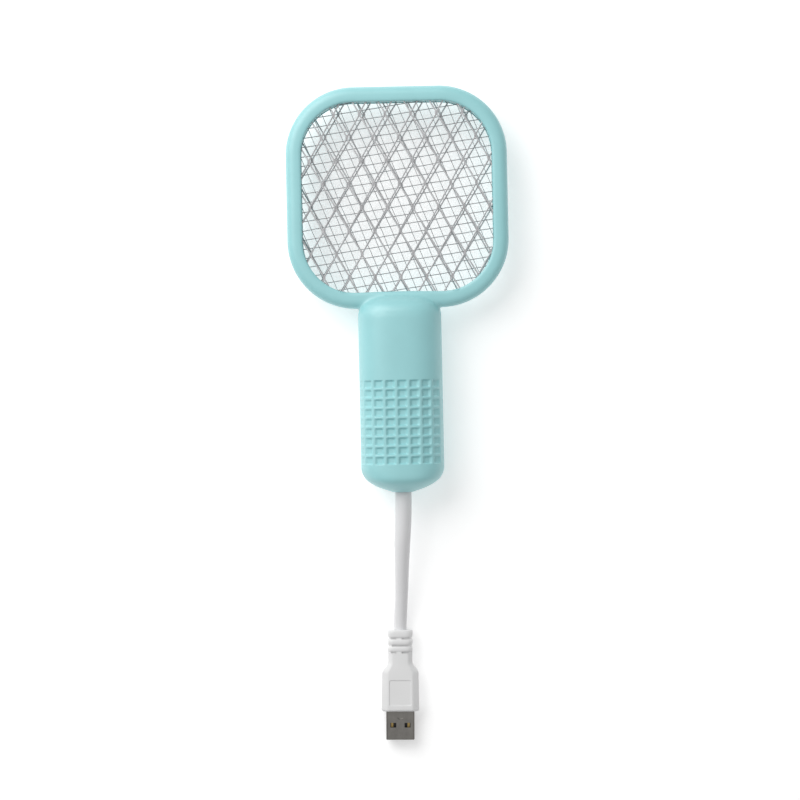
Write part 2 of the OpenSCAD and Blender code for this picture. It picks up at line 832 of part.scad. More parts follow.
module plug_body() {
    color(cord_white)
        plug_frame()
            difference() {
                union() {
                    for (ring = collar_rings)
                        soft_block(collar_size[0], collar_size[1], -ring[0], ring[1], collar_corner);
                    soft_block(collar_core[0], collar_core[0], -eps, -plug_shoulder_y - 3, collar_core[1]);
                    hull() {
                        soft_block(collar_size[0], collar_size[1], plug_shoulder_y, 0.1, collar_corner);
                        soft_block(plug_width[0], plug_depth, plug_body_y, 0.1, plug_corner);
                    }
                    hull() {
                        soft_block(plug_width[0], plug_depth, plug_body_y, 0.1, plug_corner);
                        soft_block(plug_width[1], plug_depth, plug_face_y + 1, 1, plug_corner);
                    }
                }
                // Bore for the cord, socket for the metal shell, and the two sunk panels
                translate([0, 1, 0]) rotate([90, 0, 0])
                    cylinder(r = cord_radius + plug_bore_gap, h = plug_bore + 1);
                translate([-usb_size[0] / 2 - usb_gap, plug_face_y - 1, -usb_size[1] / 2 - usb_gap])
                    cube([usb_size[0] + 2 * usb_gap, usb_length - usb_bare + 0.9,
                        usb_size[1] + 2 * usb_gap]);
                for (side = [-1, 1])
                    translate([0, plug_panel_y + plug_panel[1] / 2, side * plug_depth / 2])
                        cube([plug_panel[0], plug_panel[1], 2 * plug_panel[2]], center = true);
            }
}

// The metal shell's mouth, as far below the plug's face as the shell is bare
module usb_frame() {
    plug_frame() translate([0, plug_face_y - usb_bare, 0]) children();
}

module usb_shell() {
    color([0.5, 0.49, 0.47])
        usb_frame()
            difference() {
                translate([-usb_size[0] / 2, 0, -usb_size[1] / 2])
                    cube([usb_size[0], usb_length - 0.2, usb_size[1]]);
                translate([usb_sheet - usb_size[0] / 2, -1, usb_sheet - usb_size[1] / 2])
                    cube([usb_size[0] - 2 * usb_sheet, usb_length + 2, usb_size[1] - 2 * usb_sheet]);
                for (x = [-usb_window[2], usb_window[2]])
                    translate([x - usb_window[0] / 2, usb_window[3], -usb_size[1]])
                        cube([usb_window[0], usb_window[1], 2 * usb_size[1]]);
            }
}

// The contact board lies near the back of the shell and thickens to fill it behind the contacts
module usb_tongue() {
    color([0.08, 0.08, 0.09])
        usb_frame() {
            translate([-usb_board[0] / 2, 0.3, usb_board[1]])
                cube([usb_board[0], usb_length - 1.2, usb_board[2]]);
            translate([-usb_board[0] / 2, usb_block_y, usb_contact_z - 0.12])
                cube([usb_board[0], usb_length - 0.9 - usb_block_y, usb_block_height]);
        }
}

module usb_contacts() {
    color([0.85, 0.68, 0.3])
        usb_frame()
            for (contact = usb_contact_rows)
                translate([contact[0] - usb_contact[0] / 2, contact[1], usb_contact_z])
                    cube([usb_contact[0], usb_block_y - 0.2 - contact[1], usb_contact[1]]);
}

front_shell();
back_shell();
case_screws();
front_guard_net();
rear_guard_net();
centre_net();
front_spacer();
rear_spacer();
push_button();
switch_housing();
switch_plunger();
switch_spring();
circuit_board();
board_screws();
indicator_led();
transformer_core();
transformer_bobbin();
transformer_winding();
storage_capacitor();
multiplier_capacitors();
multiplier_diodes();
bleed_resistor();
switching_transistor();
charge_controller();
battery_cell();
battery_pad();
battery_leads();
charge_leads();
centre_net_lead();
guard_net_leads();
strain_relief();
cord();
plug_body();
usb_shell();
usb_tongue();
usb_contacts();
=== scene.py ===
"""Looks of the mini electric fly swatter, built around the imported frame.

Shapes are worked out in millimetres and brought to metres when a piece is finished.
The swatter lies on its back: +Y runs from the handle to the head and +Z is its front.
"""
import math

import bmesh
import bpy
import numpy as np
from mathutils import Matrix, Vector


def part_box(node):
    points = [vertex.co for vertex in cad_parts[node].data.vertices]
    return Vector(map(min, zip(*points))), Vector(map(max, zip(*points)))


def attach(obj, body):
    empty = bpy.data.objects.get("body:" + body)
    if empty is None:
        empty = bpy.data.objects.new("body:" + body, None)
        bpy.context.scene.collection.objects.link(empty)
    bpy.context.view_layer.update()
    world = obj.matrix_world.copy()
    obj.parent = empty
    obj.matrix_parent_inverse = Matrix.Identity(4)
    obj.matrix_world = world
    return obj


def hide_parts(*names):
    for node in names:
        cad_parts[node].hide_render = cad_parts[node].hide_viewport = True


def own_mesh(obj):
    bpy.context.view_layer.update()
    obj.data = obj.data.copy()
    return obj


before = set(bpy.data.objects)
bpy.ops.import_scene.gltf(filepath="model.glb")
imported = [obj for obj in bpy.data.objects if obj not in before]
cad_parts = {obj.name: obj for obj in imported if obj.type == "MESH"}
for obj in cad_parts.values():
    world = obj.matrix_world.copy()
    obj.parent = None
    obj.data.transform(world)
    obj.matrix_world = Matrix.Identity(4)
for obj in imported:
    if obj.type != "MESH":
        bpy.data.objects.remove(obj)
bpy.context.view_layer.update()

MM = 0.001


def box_mm(node):
    """The lowest and highest corners of a CAD node, in millimetres."""
    low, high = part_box(node)
    return np.array(low) / MM, np.array(high) / MM


# ---------- Sizes, in millimetres ----------

SHELL_LOW, SHELL_HIGH = box_mm("front_shell")
HEAD_SIZE = SHELL_HIGH[0] - SHELL_LOW[0]
HEAD_Y = SHELL_HIGH[1] - HEAD_SIZE / 2
HANDLE_END_Y = SHELL_LOW[1]
MID_Z = box_mm("back_shell")[1][2]
HANDLE_HALF_DEPTH = SHELL_HIGH[2] - MID_Z
HANDLE_HALF_WIDTH = 17.5
BACK_EXTRA_DEPTH = 0.5
SECTION_POWER = 2.5
WALL = 1.8

HEAD_CORNER = 28.5
RAIL_WIDTH = 6.4
RAIL_HALF = 5.5
RAIL_WALL = 1.5
LIP = 1.5
CHANNEL_HALF = RAIL_HALF - LIP
HEAD_LOW_Y = HEAD_Y - HEAD_SIZE / 2
HANDLE_TOP_Y = HEAD_LOW_Y + RAIL_WIDTH - 1.3
SEAM = 0.16
BLEND = 1.5

# How the handle closes at each end: distance from the end, share of its width, share of its depth
END_PROFILE = np.array([
    [0, 0.21, 0.34], [0.5, 0.33, 0.49], [1.5, 0.5, 0.66], [2.9, 0.68, 0.82], [4.1, 0.79, 0.92],
    [5.4, 0.88, 0.98], [6.9, 0.94, 0.998], [8.7, 0.985, 1], [10.6, 1, 1],
])
TOP_PROFILE = np.array([
    [0, 0.52, 0.41], [0.4, 0.61, 0.5], [1.2, 0.73, 0.62], [2.4, 0.84, 0.76], [4, 0.925, 0.88],
    [6, 0.975, 0.96], [8, 1, 0.99], [9.6, 1, 1],
])

# Grip pockets
COLUMN_PITCH = 5.1
ROW_PITCH = 4.0
POCKET_ROWS = 9
POCKET_COLUMNS = 6
POCKET_DEPTH = 0.85
POCKET_FADE = (13.5, 20.5)
POCKET_SHIFT = 0.45
RIB_HALF = 0.25
POCKET_SLOPE = (1.3, 0.85)
GRIP_TOP_Y = HANDLE_END_Y + 47.45

# Back of the handle
BUTTON_Y = -22
SCOOP_LENGTH = 8
SCOOP_RADIUS = 8
SCOOP_Z = 2.2
BUTTON_RADIUS = 4.6
SPRING_TURNS = 3.5
SPRING_WIRE = 0.13
LED_Y = -33
LED_RADIUS = 1.5
SCREW_PLACES = [(-11.5, -14.5), (11.5, -14.5), (-10.5, -75.5), (10.5, -75.5)]
SCREW_WELL_RADIUS = 2.4
SCREW_SEAT_Z = 9
PILLAR_RADIUS = 3.7
BOARD_SCREWS = [(9.2, -23), (-9.2, -61)]
BOARD_POST_RADIUS = 2.3
BOARD_TOP_Z = 14
BOSS_RADIUS = 6.4

# Nets
DIAMOND = (10.8, 19.6)
BOND_HALF = 0.8
STRAND = (0.62, 0.42)
STRAND_ROLL = -8
NET_BORDER = (2.0, 3.2)
FRONT_PHASE = (1, 5.6)
REAR_PHASE = (1.7, 5.6)
REAR_TURN = -1.8
MESH_PITCH = 3.85
MESH_TILT = 8
MESH_LEAN = 68
MESH_RADII = (0.18, 0.13)

# Tail: the cord's route is the one that the frame's cord follows
CORD_DIAMETER = 5.5
RELIEF_RADIUS = 3.45
GROMMET_RADIUS = 4.8
CORD_ROUTE = [
    (0, -80, 13), (0, -84, 13), (0, -88, 13), (-0.1, -92, 12.9), (-0.3, -97, 12.5),
    (-0.6, -102, 11.9), (-0.9, -107, 11), (-1.1, -112, 9.9), (-1.3, -117, 8.6), (-1.4, -122, 7.3),
    (-1.6, -127, 6.1), (-1.9, -132, 5.1), (-2.25, -137.4, 4.4), (-2.55, -142.7, 4), (-2.67, -147.8, 4),
]
PLUG_PLACE = (-2.6, -143.9, 4)
PLUG_TURN = -1


# ---------- Camera, light and floor ----------

def make_camera():
    """Straight above the object, a little turned, far enough off to see it almost flat."""
    centre = (-0.6, -46.55)
    height = 1200
    seen_half_width = 168.4
    data = bpy.data.cameras.new("camera")
    camera = bpy.data.objects.new("camera", data)
    camera.location = (centre[0] * MM, centre[1] * MM, (MID_Z + height) * MM)
    camera.rotation_euler = (0, 0, math.radians(-1.2))
    data.sensor_width = 36
    data.lens = data.sensor_width / 2 * height / seen_half_width
    data.clip_end = 20
    bpy.context.scene.collection.objects.link(camera)
    bpy.context.scene.camera = camera


def area_light(name, place, target, size, power):
    data = bpy.data.lights.new(name, "AREA")
    data.size = size
    data.energy = power
    light = bpy.data.objects.new(name, data)
    light.location = place
    light.rotation_euler = (Vector(target) - Vector(place)).to_track_quat("-Z", "Y").to_euler()
    bpy.context.scene.collection.objects.link(light)


def make_lights():
    world = bpy.data.worlds.new("studio")
    world.use_nodes = True
    background = world.node_tree.nodes["Background"]
    background.inputs["Color"].default_value = (1, 1, 1, 1)
    background.inputs["Strength"].default_value = 0.36
    bpy.context.scene.world = world
    target = (0, 0, 0.01)
    area_light("key", (-0.52, 0.55, 0.68), target, 0.9, 8.5)
    area_light("fill", (0.1, -0.3, 1.1), target, 1.0, 1.2)


def make_floor():
    half = 4
    bpy.ops.mesh.primitive_plane_add(size=2 * half, location=(0, 0, 0))
    floor = bpy.context.object
    floor.name = "floor"
    floor.data.materials.append(paper_white())


# ---------- Materials ----------

def set_inputs(node, values):
    """Sets sockets by name; an underscore in a name stands for a space."""
    for socket, value in values.items():
        node.inputs[socket.replace("_", " ")].default_value = value


class Surface:
    """A material whose colour, roughness and bump come from nodes around one Principled shader."""

    def __init__(self, name, roughness, **fixed):
        self.material = bpy.data.materials.new(name)
        self.material.use_nodes = True
        self.tree = self.material.node_tree
        self.shader = self.tree.nodes["Principled BSDF"]
        set_inputs(self.shader, {"Roughness": roughness, **fixed})
        self.place = self.node("TexCoord").outputs["Object"]
        self.bump = None

    def node(self, kind, **values):
        made = self.tree.nodes.new("ShaderNode" + kind)
        set_inputs(made, values)
        return made

    def link(self, output, socket):
        self.tree.links.new(output, socket)

    def stretched(self, scale):
        """Object coordinates with each axis scaled."""
        mapping = self.node("Mapping", Scale=scale)
        self.link(self.place, mapping.inputs["Vector"])
        return mapping.outputs["Vector"]

    def texture(self, kind, place=None, **values):
        node = self.node("Tex" + kind, **values)
        self.link(place or self.place, node.inputs["Vector"])
        return node.outputs

    def noise(self, per_metre, detail=3.0, roughness=0.5, place=None):
        return self.texture("Noise", place, Scale=per_metre, Detail=detail, Roughness=roughness)["Fac"]

    def colour(self, factor, stops):
        """Base colour along a ramp of (position, colour) stops."""
        node = self.node("ValToRGB")
        elements = node.color_ramp.elements
        while len(elements) < len(stops):
            elements.new(0.5)
        for element, (position, colour) in zip(elements, stops):
            element.position = position
            element.color = (*colour, 1)
        self.link(factor, node.inputs["Fac"])
        self.link(node.outputs["Color"], self.shader.inputs["Base Color"])

    def rough(self, factor, low, high):
        """Roughness from low to high over the middle of the factor's range."""
        node = self.node("MapRange", From_Min=0.3, From_Max=0.7, To_Min=low, To_Max=high)
        self.link(factor, node.inputs["Value"])
        self.link(node.outputs["Result"], self.shader.inputs["Roughness"])

    def raise_by(self, factor, distance_mm):
        """Adds a bump of this height on top of those already there."""
        node = self.node("Bump", Distance=distance_mm * MM, Strength=1.0)
        self.link(factor, node.inputs["Height"])
        if self.bump is not None:
            self.link(self.bump, node.inputs["Normal"])
        self.bump = node.outputs["Normal"]
        self.link(self.bump, self.shader.inputs["Normal"])


def around(colour, spread):
    """Ramp stops from a little darker than the colour to a little lighter."""
    shares = ((0.3, 1 - spread), (0.7, 1 + spread))
    return [(place, tuple(min(1.0, c * share) for c in colour)) for place, share in shares]


def moulded(name, colour, roughness, spread=0.05, orange_peel=0.012, grain=0.006, **fixed):
    """Moulded plastic: faint clouding, a soft orange peel and a fine grain."""
    surface = Surface(name, roughness, **fixed)
    surface.colour(surface.noise(90, 4), around(colour, spread))
    surface.rough(surface.noise(500, 3), roughness - 0.06, roughness + 0.06)
    surface.raise_by(surface.noise(350, 2), orange_peel)
    surface.raise_by(surface.noise(6000, 2), grain)
    return surface.material


def metal(name, colour, roughness, along=(1, 1, 1), spread=0.1, scratch=0.004):
    """Drawn or plated metal, with fine lines along the axis whose scale is smallest."""
    surface = Surface(name, roughness, Metallic=1.0)
    lines = surface.noise(4000, 3, 0.6, surface.stretched(along))
    surface.colour(surface.noise(300, 3), around(colour, spread))
    surface.rough(lines, roughness - 0.07, roughness + 0.1)
    surface.raise_by(lines, scratch)
    return surface.material


def paper_white():
    """A white light table. It can be seen through from underneath, so that the back shows too."""
    surface = Surface("paper_white", 0.9, Specular_IOR_Level=0.1,
                      Emission_Color=(1, 1, 1, 1), Emission_Strength=0.36)
    surface.colour(surface.noise(2.5, 2), [(0.3, (0.9, 0.9, 0.9)), (0.7, (0.92, 0.92, 0.92))])
    mix = surface.node("MixShader")
    surface.link(surface.node("NewGeometry").outputs["Backfacing"], mix.inputs["Fac"])
    surface.link(surface.shader.outputs["BSDF"], mix.inputs[1])
    surface.link(surface.node("BsdfTransparent").outputs["BSDF"], mix.inputs[2])
    surface.link(mix.outputs["Shader"], surface.tree.nodes["Material Output"].inputs["Surface"])
    return surface.material


def wound_copper():
    """Enamelled wire wound round the X axis, under a layer of clear varnish."""
    surface = Surface("copper", 0.3, Metallic=0.85, Coat_Weight=0.5)
    turns = surface.texture("Wave", Scale=1600, Distortion=0.6)["Fac"]
    # Painted shade: the colour is darkest in the grooves between the turns, where the bump sinks
    surface.colour(turns, [(0.1, (0.22, 0.07, 0.025)), (0.6, (0.62, 0.25, 0.09))])
    surface.raise_by(turns, 0.06)
    return surface.material


def laminate():
    """Green solder mask over woven glass, with paler copper runs under it."""
    surface = Surface("board_laminate", 0.35, Coat_Weight=0.3)
    weave = surface.texture("Brick", Scale=330, Mortar_Size=0.12, Mortar=(0.05, 0.26, 0.11, 1),
                            Color1=(0.02, 0.12, 0.05, 1), Color2=(0.025, 0.15, 0.06, 1))
    surface.link(weave["Color"], surface.shader.inputs["Base Color"])
    surface.raise_by(weave["Fac"], 0.03)
    surface.raise_by(surface.noise(5000, 2), 0.005)
    return surface.material


def led_resin():
    surface = Surface("led_resin", 0.12, Transmission_Weight=0.35, IOR=1.5)
    surface.colour(surface.noise(900, 2), [(0.3, (0.62, 0.05, 0.04)), (0.7, (0.72, 0.09, 0.07))])
    surface.raise_by(surface.noise(1500, 2), 0.004)
    return surface.material


def pouch_foil():
    surface = Surface("battery_foil", 0.3, Metallic=0.8)
    creases = surface.noise(180, 6, 0.65, surface.stretched((1, 0.4, 1)))
    # Painted shade: the foil is darker in the hollows of its creases, following the same noise as the
    # bump
    surface.colour(creases, [(0.35, (0.5, 0.51, 0.53)), (0.65, (0.72, 0.73, 0.75))])
    surface.raise_by(creases, 0.12)
    return surface.material


def foam():
    surface = Surface("foam", 0.95)
    cells = surface.texture("Voronoi", Scale=2500)["Distance"]
    # Painted shade: each cell is darkest in its middle, the pit that the bump sinks
    surface.colour(cells, [(0.1, (0.02, 0.02, 0.022)), (0.8, (0.07, 0.07, 0.075))])
    surface.raise_by(cells, 0.1)
    return surface.material


def make_materials():
    """One material for each of the record's material slots, in place of the frame's flat ones."""
    for flat in list(bpy.data.materials):
        bpy.data.materials.remove(flat)
    mint = (0.335, 0.69, 0.715)
    made = [
        moulded("mint_plastic", mint, 0.42, 0.02,
                Specular_IOR_Level=0.8, Coat_Weight=0.3, Coat_Roughness=0.45),
        moulded("white_plastic", (0.84, 0.84, 0.84), 0.34, 0.02),
        moulded("white_rubber", (0.80, 0.80, 0.81), 0.5, 0.02, 0.02, 0.01),
        moulded("black_plastic", (0.02, 0.02, 0.022), 0.4, 0.15),
        moulded("red_plastic", (0.55, 0.05, 0.03), 0.35, 0.05),
        moulded("cream_plastic", (0.75, 0.7, 0.5), 0.45, 0.03),
        moulded("ferrite", (0.035, 0.035, 0.038), 0.6, 0.2, 0.02, 0.03),
        moulded("brown_epoxy", (0.2, 0.045, 0.02), 0.25, 0.06, 0.03),
        moulded("blue_epoxy", (0.03, 0.1, 0.4), 0.25, 0.06, 0.03),
        moulded("tan_ceramic", (0.6, 0.42, 0.2), 0.45, 0.05, 0.02),
        moulded("lead_insulation", (0.6, 0.03, 0.02), 0.4, 0.04),
        moulded("lead_insulation_dark", (0.02, 0.02, 0.02), 0.4, 0.1),
        metal("net_aluminium", (0.58, 0.58, 0.59), 0.45),
        metal("net_steel", (0.4, 0.4, 0.41), 0.45),
        metal("screw_steel", (0.5, 0.5, 0.51), 0.28),
        metal("plug_steel", (0.23, 0.22, 0.205), 0.33, (1, 0.08, 1)),
        # The contacts' own gold colour, painted darker as shade for contacts that sit deep inside the
        # plug
        metal("gold_contacts", (0.5, 0.36, 0.14), 0.35, (1, 0.1, 1)),
        wound_copper(), laminate(), led_resin(), pouch_foil(), foam(),
    ]
    return {material.name: material for material in made}


# ---------- Mesh helpers ----------

def raw_object(name, points, faces):
    mesh = bpy.data.meshes.new(name)
    mesh.from_pydata(np.asarray(points, float).tolist(), [], faces)
    mesh.validate()
    made = bpy.data.objects.new(name, mesh)
    bpy.context.scene.collection.objects.link(made)
    edit = bmesh.new()
    edit.from_mesh(mesh)
    bmesh.ops.recalc_face_normals(edit, faces=edit.faces)
    edit.to_mesh(mesh)
    edit.free()
    return made


def apply_modifiers(piece):
    bpy.context.view_layer.update()
    graph = bpy.context.evaluated_depsgraph_get()
    old = piece.data
    piece.data = bpy.data.meshes.new_from_object(piece.evaluated_get(graph))
    piece.modifiers.clear()
    bpy.data.meshes.remove(old)


def combine(piece, tool, operation):
    modifier = piece.modifiers.new("combine", "BOOLEAN")
    modifier.operation = operation
    modifier.solver = "MANIFOLD"
    modifier.object = tool
    apply_modifiers(piece)
    bpy.data.objects.remove(tool)


def add(piece, *tools):
    for tool in tools:
        combine(piece, tool, "UNION")


def cut(piece, *tools):
    for tool in tools:
        combine(piece, tool, "DIFFERENCE")


def finish_piece(piece, name, slot, body="swatter", nodes=(), sharp=38):
    """Brings a piece to metres, shades it smooth up to the sharp angle, and puts it on its body."""
    mesh = piece.data
    edit = bmesh.new()
    edit.from_mesh(mesh)
    bmesh.ops.remove_doubles(edit, verts=edit.verts, dist=0.003)
    bmesh.ops.dissolve_degenerate(edit, edges=edit.edges, dist=0.002)
    limit = math.radians(sharp)
    for edge in edit.edges:
        edge.smooth = len(edge.link_faces) == 2 and edge.calc_face_angle(0) < limit
    for face in edit.faces:
        face.smooth = True
    edit.to_mesh(mesh)
    edit.free()
    mesh.transform(Matrix.Scale(MM, 4))
    mesh.materials.clear()
    mesh.materials.append(MATERIALS[slot])
    piece.name = name
    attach(piece, body)
    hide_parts(*nodes)
    return piece


def lofted(name, rows, looped=False):
    """A closed solid through rings of points, or one that runs round in a loop."""
    rows = np.asarray(rows, float)
    total, count = rows.shape[:2]
    faces = []
    for i in range(total if looped else total - 1):
        here, there = i * count, (i + 1) % total * count
        for k in range(count):
            n = (k + 1) % count
            faces.append((here + k, here + n, there + n, there + k))
    if not looped:
        faces.append(tuple(range(count))[::-1])
        faces.append(tuple(range((total - 1) * count, total * count)))
    return raw_object(name, rows.reshape(-1, 3), faces)


def block(name, low, high):
    (a, b, c), (d, e, f) = low, high
    ring = [(a, b), (d, b), (d, e), (a, e)]
    return lofted(name, [[(x, y, c) for x, y in ring], [(x, y, f) for x, y in ring]])


def circle(radius, steps):
    angles = np.arange(steps) * 2 * math.pi / steps
    return [(radius * math.cos(a), radius * math.sin(a)) for a in angles]


def turned(name, profile, centre=(0, 0), steps=64, axis="Z"):
    """A solid of revolution; profile is (radius, height) from one end of the axis to the other."""
    rows = []
    for radius, height in profile:
        row = [(centre[0] + a, centre[1] + b, height) for a, b in circle(radius, steps)]
        rows.append(row if axis == "Z" else [(x, z, y) for x, y, z in row])
    return lofted(name, rows)


def power_wave(values, power=SECTION_POWER):
    return np.sign(values) * np.abs(values) ** (2 / power)


def arc(centre, radii, start, stop, steps, power=2.0):
    """Points along an ellipse, or along a squarer curve where the power is above 2."""
    angles = np.radians(np.linspace(start, stop, steps + 1))
    across, up = power_wave(np.cos(angles), power), power_wave(np.sin(angles), power)
    return [(centre[0] + radii[0] * a, centre[1] + radii[1] * b) for a, b in zip(across, up)]


def smooth_route(points, step):
    """Points every step along a smooth curve through the given ones."""
    points = np.asarray(points, float)
    ahead = np.vstack([2 * points[0] - points[1], points, 2 * points[-1] - points[-2]])
    fine = []
    for a, b, c, d in zip(ahead, ahead[1:], ahead[2:], ahead[3:]):
        for t in np.linspace(0, 1, 20, endpoint=False):
            fine.append(0.5 * (2 * b + (c - a) * t + (2 * a - 5 * b + 4 * c - d) * t ** 2
                               + (3 * b - a - 3 * c + d) * t ** 3))
    fine = np.array(fine + [ahead[-2]])
    run = np.concatenate([[0], np.cumsum(np.linalg.norm(np.diff(fine, axis=0), axis=1))])
    places = np.linspace(0, run[-1], max(2, round(run[-1] / step) + 1))
    return np.stack([np.interp(places, run, fine[:, k]) for k in range(3)], 1)


def tube_rows(path, radii, sides=32):
    """Rings of points round a path that never runs along X."""
    path = np.asarray(path, float)
    along = np.gradient(path, axis=0)
    along /= np.linalg.norm(along, axis=1)[:, None]
    across = np.array([1.0, 0, 0]) - along[:, :1] * along
    across /= np.linalg.norm(across, axis=1)[:, None]
    up = np.cross(across, along)
    angles = np.arange(sides) * 2 * math.pi / sides
    ring = np.cos(angles)[None, :, None] * across[:, None] + np.sin(angles)[None, :, None] * up[:, None]
    return path[:, None] + np.asarray(radii, float)[:, None, None] * ring


# ---------- Handle ----------

def full_depth(behind):
    """The handle's half depth, which is greater behind the parting plane."""
    return HANDLE_HALF_DEPTH + np.where(behind, BACK_EXTRA_DEPTH, 0)


def section_point(angles):
    """The handle's full section at these angles, as x and height from the parting plane."""
    up = np.sin(angles)
    return HANDLE_HALF_WIDTH * power_wave(np.cos(angles)), full_depth(up < 0) * power_wave(up)


def angles_at(lengths):
    """Section angles at these lengths from the front's middle, positive towards +X."""
    fine = np.linspace(math.pi / 2, -math.pi / 2, 8001)
    x, z = section_point(fine)
    run = np.concatenate([[0], np.cumsum(np.hypot(np.diff(x), np.diff(z)))])
    lengths = np.asarray(lengths, float)
    right = np.interp(np.abs(lengths), run, fine)
    return np.where(lengths >= 0, right, math.pi - right)


def section_length(start, stop):
    """Length round the section from one angle to another."""
    x, z = section_point(np.linspace(start, stop, 8001))
    return np.hypot(np.diff(x), np.diff(z)).sum()


# From the front's middle to the parting plane, and from there to the back's middle
FRONT_LENGTH = section_length(math.pi / 2, 0)
BACK_LENGTH = section_length(0, -math.pi / 2)


def profile_share(profile, distance, column):
    """A smooth curve through the profile's points, drawn against the root of the distance."""
    knots = np.sqrt(profile[:, 0])
    values = profile[:, column]
    slopes = np.gradient(values, knots)
    slopes[-1] = 0
    place = np.sqrt(np.clip(distance, 0, profile[-1, 0]))
    i = np.clip(np.searchsorted(knots, place) - 1, 0, len(knots) - 2)
    width = knots[i + 1] - knots[i]
    t = (place - knots[i]) / width
    curve = ((1 + 2 * t) * (1 - t) ** 2 * values[i] + t * (1 - t) ** 2 * width * slopes[i]
             + t * t * (3 - 2 * t) * values[i + 1] + t * t * (t - 1) * width * slopes[i + 1])
    past_end = np.minimum(distance, 0) * 0.2
    return np.clip(curve + past_end, 0.02, 1)


def handle_shares(y, inset=0):
    """Shares of the full width and depth at y."""
    y = np.asarray(y, float)
    low = y - HANDLE_END_Y - inset
    high = HANDLE_TOP_Y - inset - y
    return [np.minimum(profile_share(END_PROFILE, low, c), profile_share(TOP_PROFILE, high, c))
            for c in (1, 2)]


def handle_grid(y, angles, inset=0):
    """Surface points, one row for each y and one column for each angle."""
    wide, deep = handle_shares(y, inset)
    angles = np.asarray(angles, float)
    half_width = HANDLE_HALF_WIDTH * wide[:, None] - inset
    half_depth = full_depth(np.sin(angles) < -1e-9)[None, :] * deep[:, None] - inset
    return np.stack([
        half_width * power_wave(np.cos(angles))[None, :],
        np.repeat(np.asarray(y, float)[:, None], len(angles), 1),
        MID_Z + half_depth * power_wave(np.sin(angles))[None, :],
    ], 2)


def smoothstep(values):
    t = np.clip(values, 0, 1)
    return t * t * (3 - 2 * t)


def pocket_depth(lengths, y):
    """How far the grip's pockets go in, at a length round the section and a place along it."""
    across = lengths - POCKET_SHIFT
    column = np.round(across / COLUMN_PITCH)
    down = GRIP_TOP_Y - y
    row = np.floor(down / ROW_PITCH)
    from_x = COLUMN_PITCH / 2 - RIB_HALF - np.abs(across - column * COLUMN_PITCH)
    from_y = ROW_PITCH / 2 - RIB_HALF + 0.05 - np.abs(down - (row + 0.5) * ROW_PITCH)
    scoop = smoothstep(from_x / POCKET_SLOPE[0]) * smoothstep(from_y / POCKET_SLOPE[1])
    fade = 1 - 0.8 * smoothstep((np.abs(lengths) - POCKET_FADE[0]) / (POCKET_FADE[1] - POCKET_FADE[0]))
    wanted = (np.abs(column) <= POCKET_COLUMNS) & (row >= 0) & (row < POCKET_ROWS)
    return np.where(wanted, POCKET_DEPTH * fade * scoop, 0)


# Grid lines on each side of a rib, at these distances from its middle
RIB_LINES = (0, 0.13, 0.25, 0.37, 0.5, 0.64, 0.8, 1.0, 1.25, 1.5)


def grid_lines(low, high, step, ribs=(), near=None):
    """Places from low to high: every step, closer in the near range, and set at the ribs' edges."""
    places = list(np.arange(low, high, step)) + [high]
    if near:
        places = [p for p in places if not near[0] < p < near[1]]
        places += list(np.arange(max(near[0], low), min(near[1], high), 0.45))
    for rib in ribs:
        places = [p for p in places if abs(p - rib) > RIB_LINES[-1] + 0.1]
        places += [rib + side * offset for offset in RIB_LINES for side in (-1, 1)]
    places = sorted(p for p in places if low <= p <= high)
    kept = [places[0]]
    for place in places[1:]:
        if place - kept[-1] > 0.05:
            kept.append(place)
    kept[-1] = high
    return np.array(kept)


def handle_lines_y():
    row_ribs = [GRIP_TOP_Y - ROW_PITCH * k for k in range(POCKET_ROWS + 1)]
    ends = [HANDLE_END_Y + d * d for d in np.arange(0, 3.1, 0.16)]
    tops = [HANDLE_TOP_Y - d * d for d in np.arange(0, 1.6, 0.16)]
    middle = grid_lines(HANDLE_END_Y + 9.3, HANDLE_TOP_Y - 2.6, 0.8, row_ribs, near=(-44, -6.5))
    return np.unique(np.round(np.concatenate([ends, middle, tops]), 4))


def column_ribs():
    columns = range(-POCKET_COLUMNS - 1, POCKET_COLUMNS + 1)
    return [POCKET_SHIFT + COLUMN_PITCH * (k + 0.5) for k in columns]


def surface_normals(grid):
    normals = np.cross(np.gradient(grid, axis=1), np.gradient(grid, axis=0))
    return normals / np.maximum(np.linalg.norm(normals, axis=2), 1e-9)[:, :, None]


def handle_half(front):
    """The outside of one half of the handle, with its grip, scoop and flat, as a closed solid."""
    y = handle_lines_y()
    seam_side = 0.2
    if front:
        lengths = grid_lines(-FRONT_LENGTH, FRONT_LENGTH, 0.6, column_ribs())
        beside_seam = [-FRONT_LENGTH + seam_side, FRONT_LENGTH - seam_side]
    else:
        right, left = [
            side * grid_lines(FRONT_LENGTH, FRONT_LENGTH + BACK_LENGTH, 0.45,
                              [side * r for r in column_ribs() if side * r > FRONT_LENGTH])
            for side in (1, -1)]
        lengths = np.concatenate([right, left[:-1][::-1]])
        beside_seam = [FRONT_LENGTH + seam_side, -FRONT_LENGTH - seam_side]
    lengths = np.insert(lengths, [1, len(lengths) - 1], beside_seam)
    grid = handle_grid(y, angles_at(lengths))
    normals = surface_normals(grid)
    outward = np.sign((normals * (grid - [0, 0, MID_Z])).sum(2).mean())
    depth = pocket_depth(lengths[None, :], y[:, None])
    grid -= outward * normals * depth[:, :, None]
    if not front:
        grid[:, :, 2] = settled_back(grid)
    # The fine groove between the shells
    for column in (0, -1):
        grid[:, column, 0] -= np.sign(grid[:, column, 0]) * SEAM
    return lofted("half", grid)


def settled_back(grid):
    """Heights of the back, with the flat that it lies on and the finger scoop pressed in."""
    x, y, z = np.moveaxis(grid, 2, 0)
    ease = 0.35
    lifted = np.where(z < -ease, 0, np.where(z > ease, z, (z + ease) ** 2 / (4 * ease)))
    along = np.clip(y, BUTTON_Y - SCOOP_LENGTH, BUTTON_Y)
    from_edge = np.hypot(x, y - along) - SCOOP_RADIUS
    floor = SCOOP_Z * smoothstep(-from_edge / 2.6 + 0.25)
    return np.where(from_edge < 1, np.maximum(lifted, floor), lifted)


# ---------- Head ----------

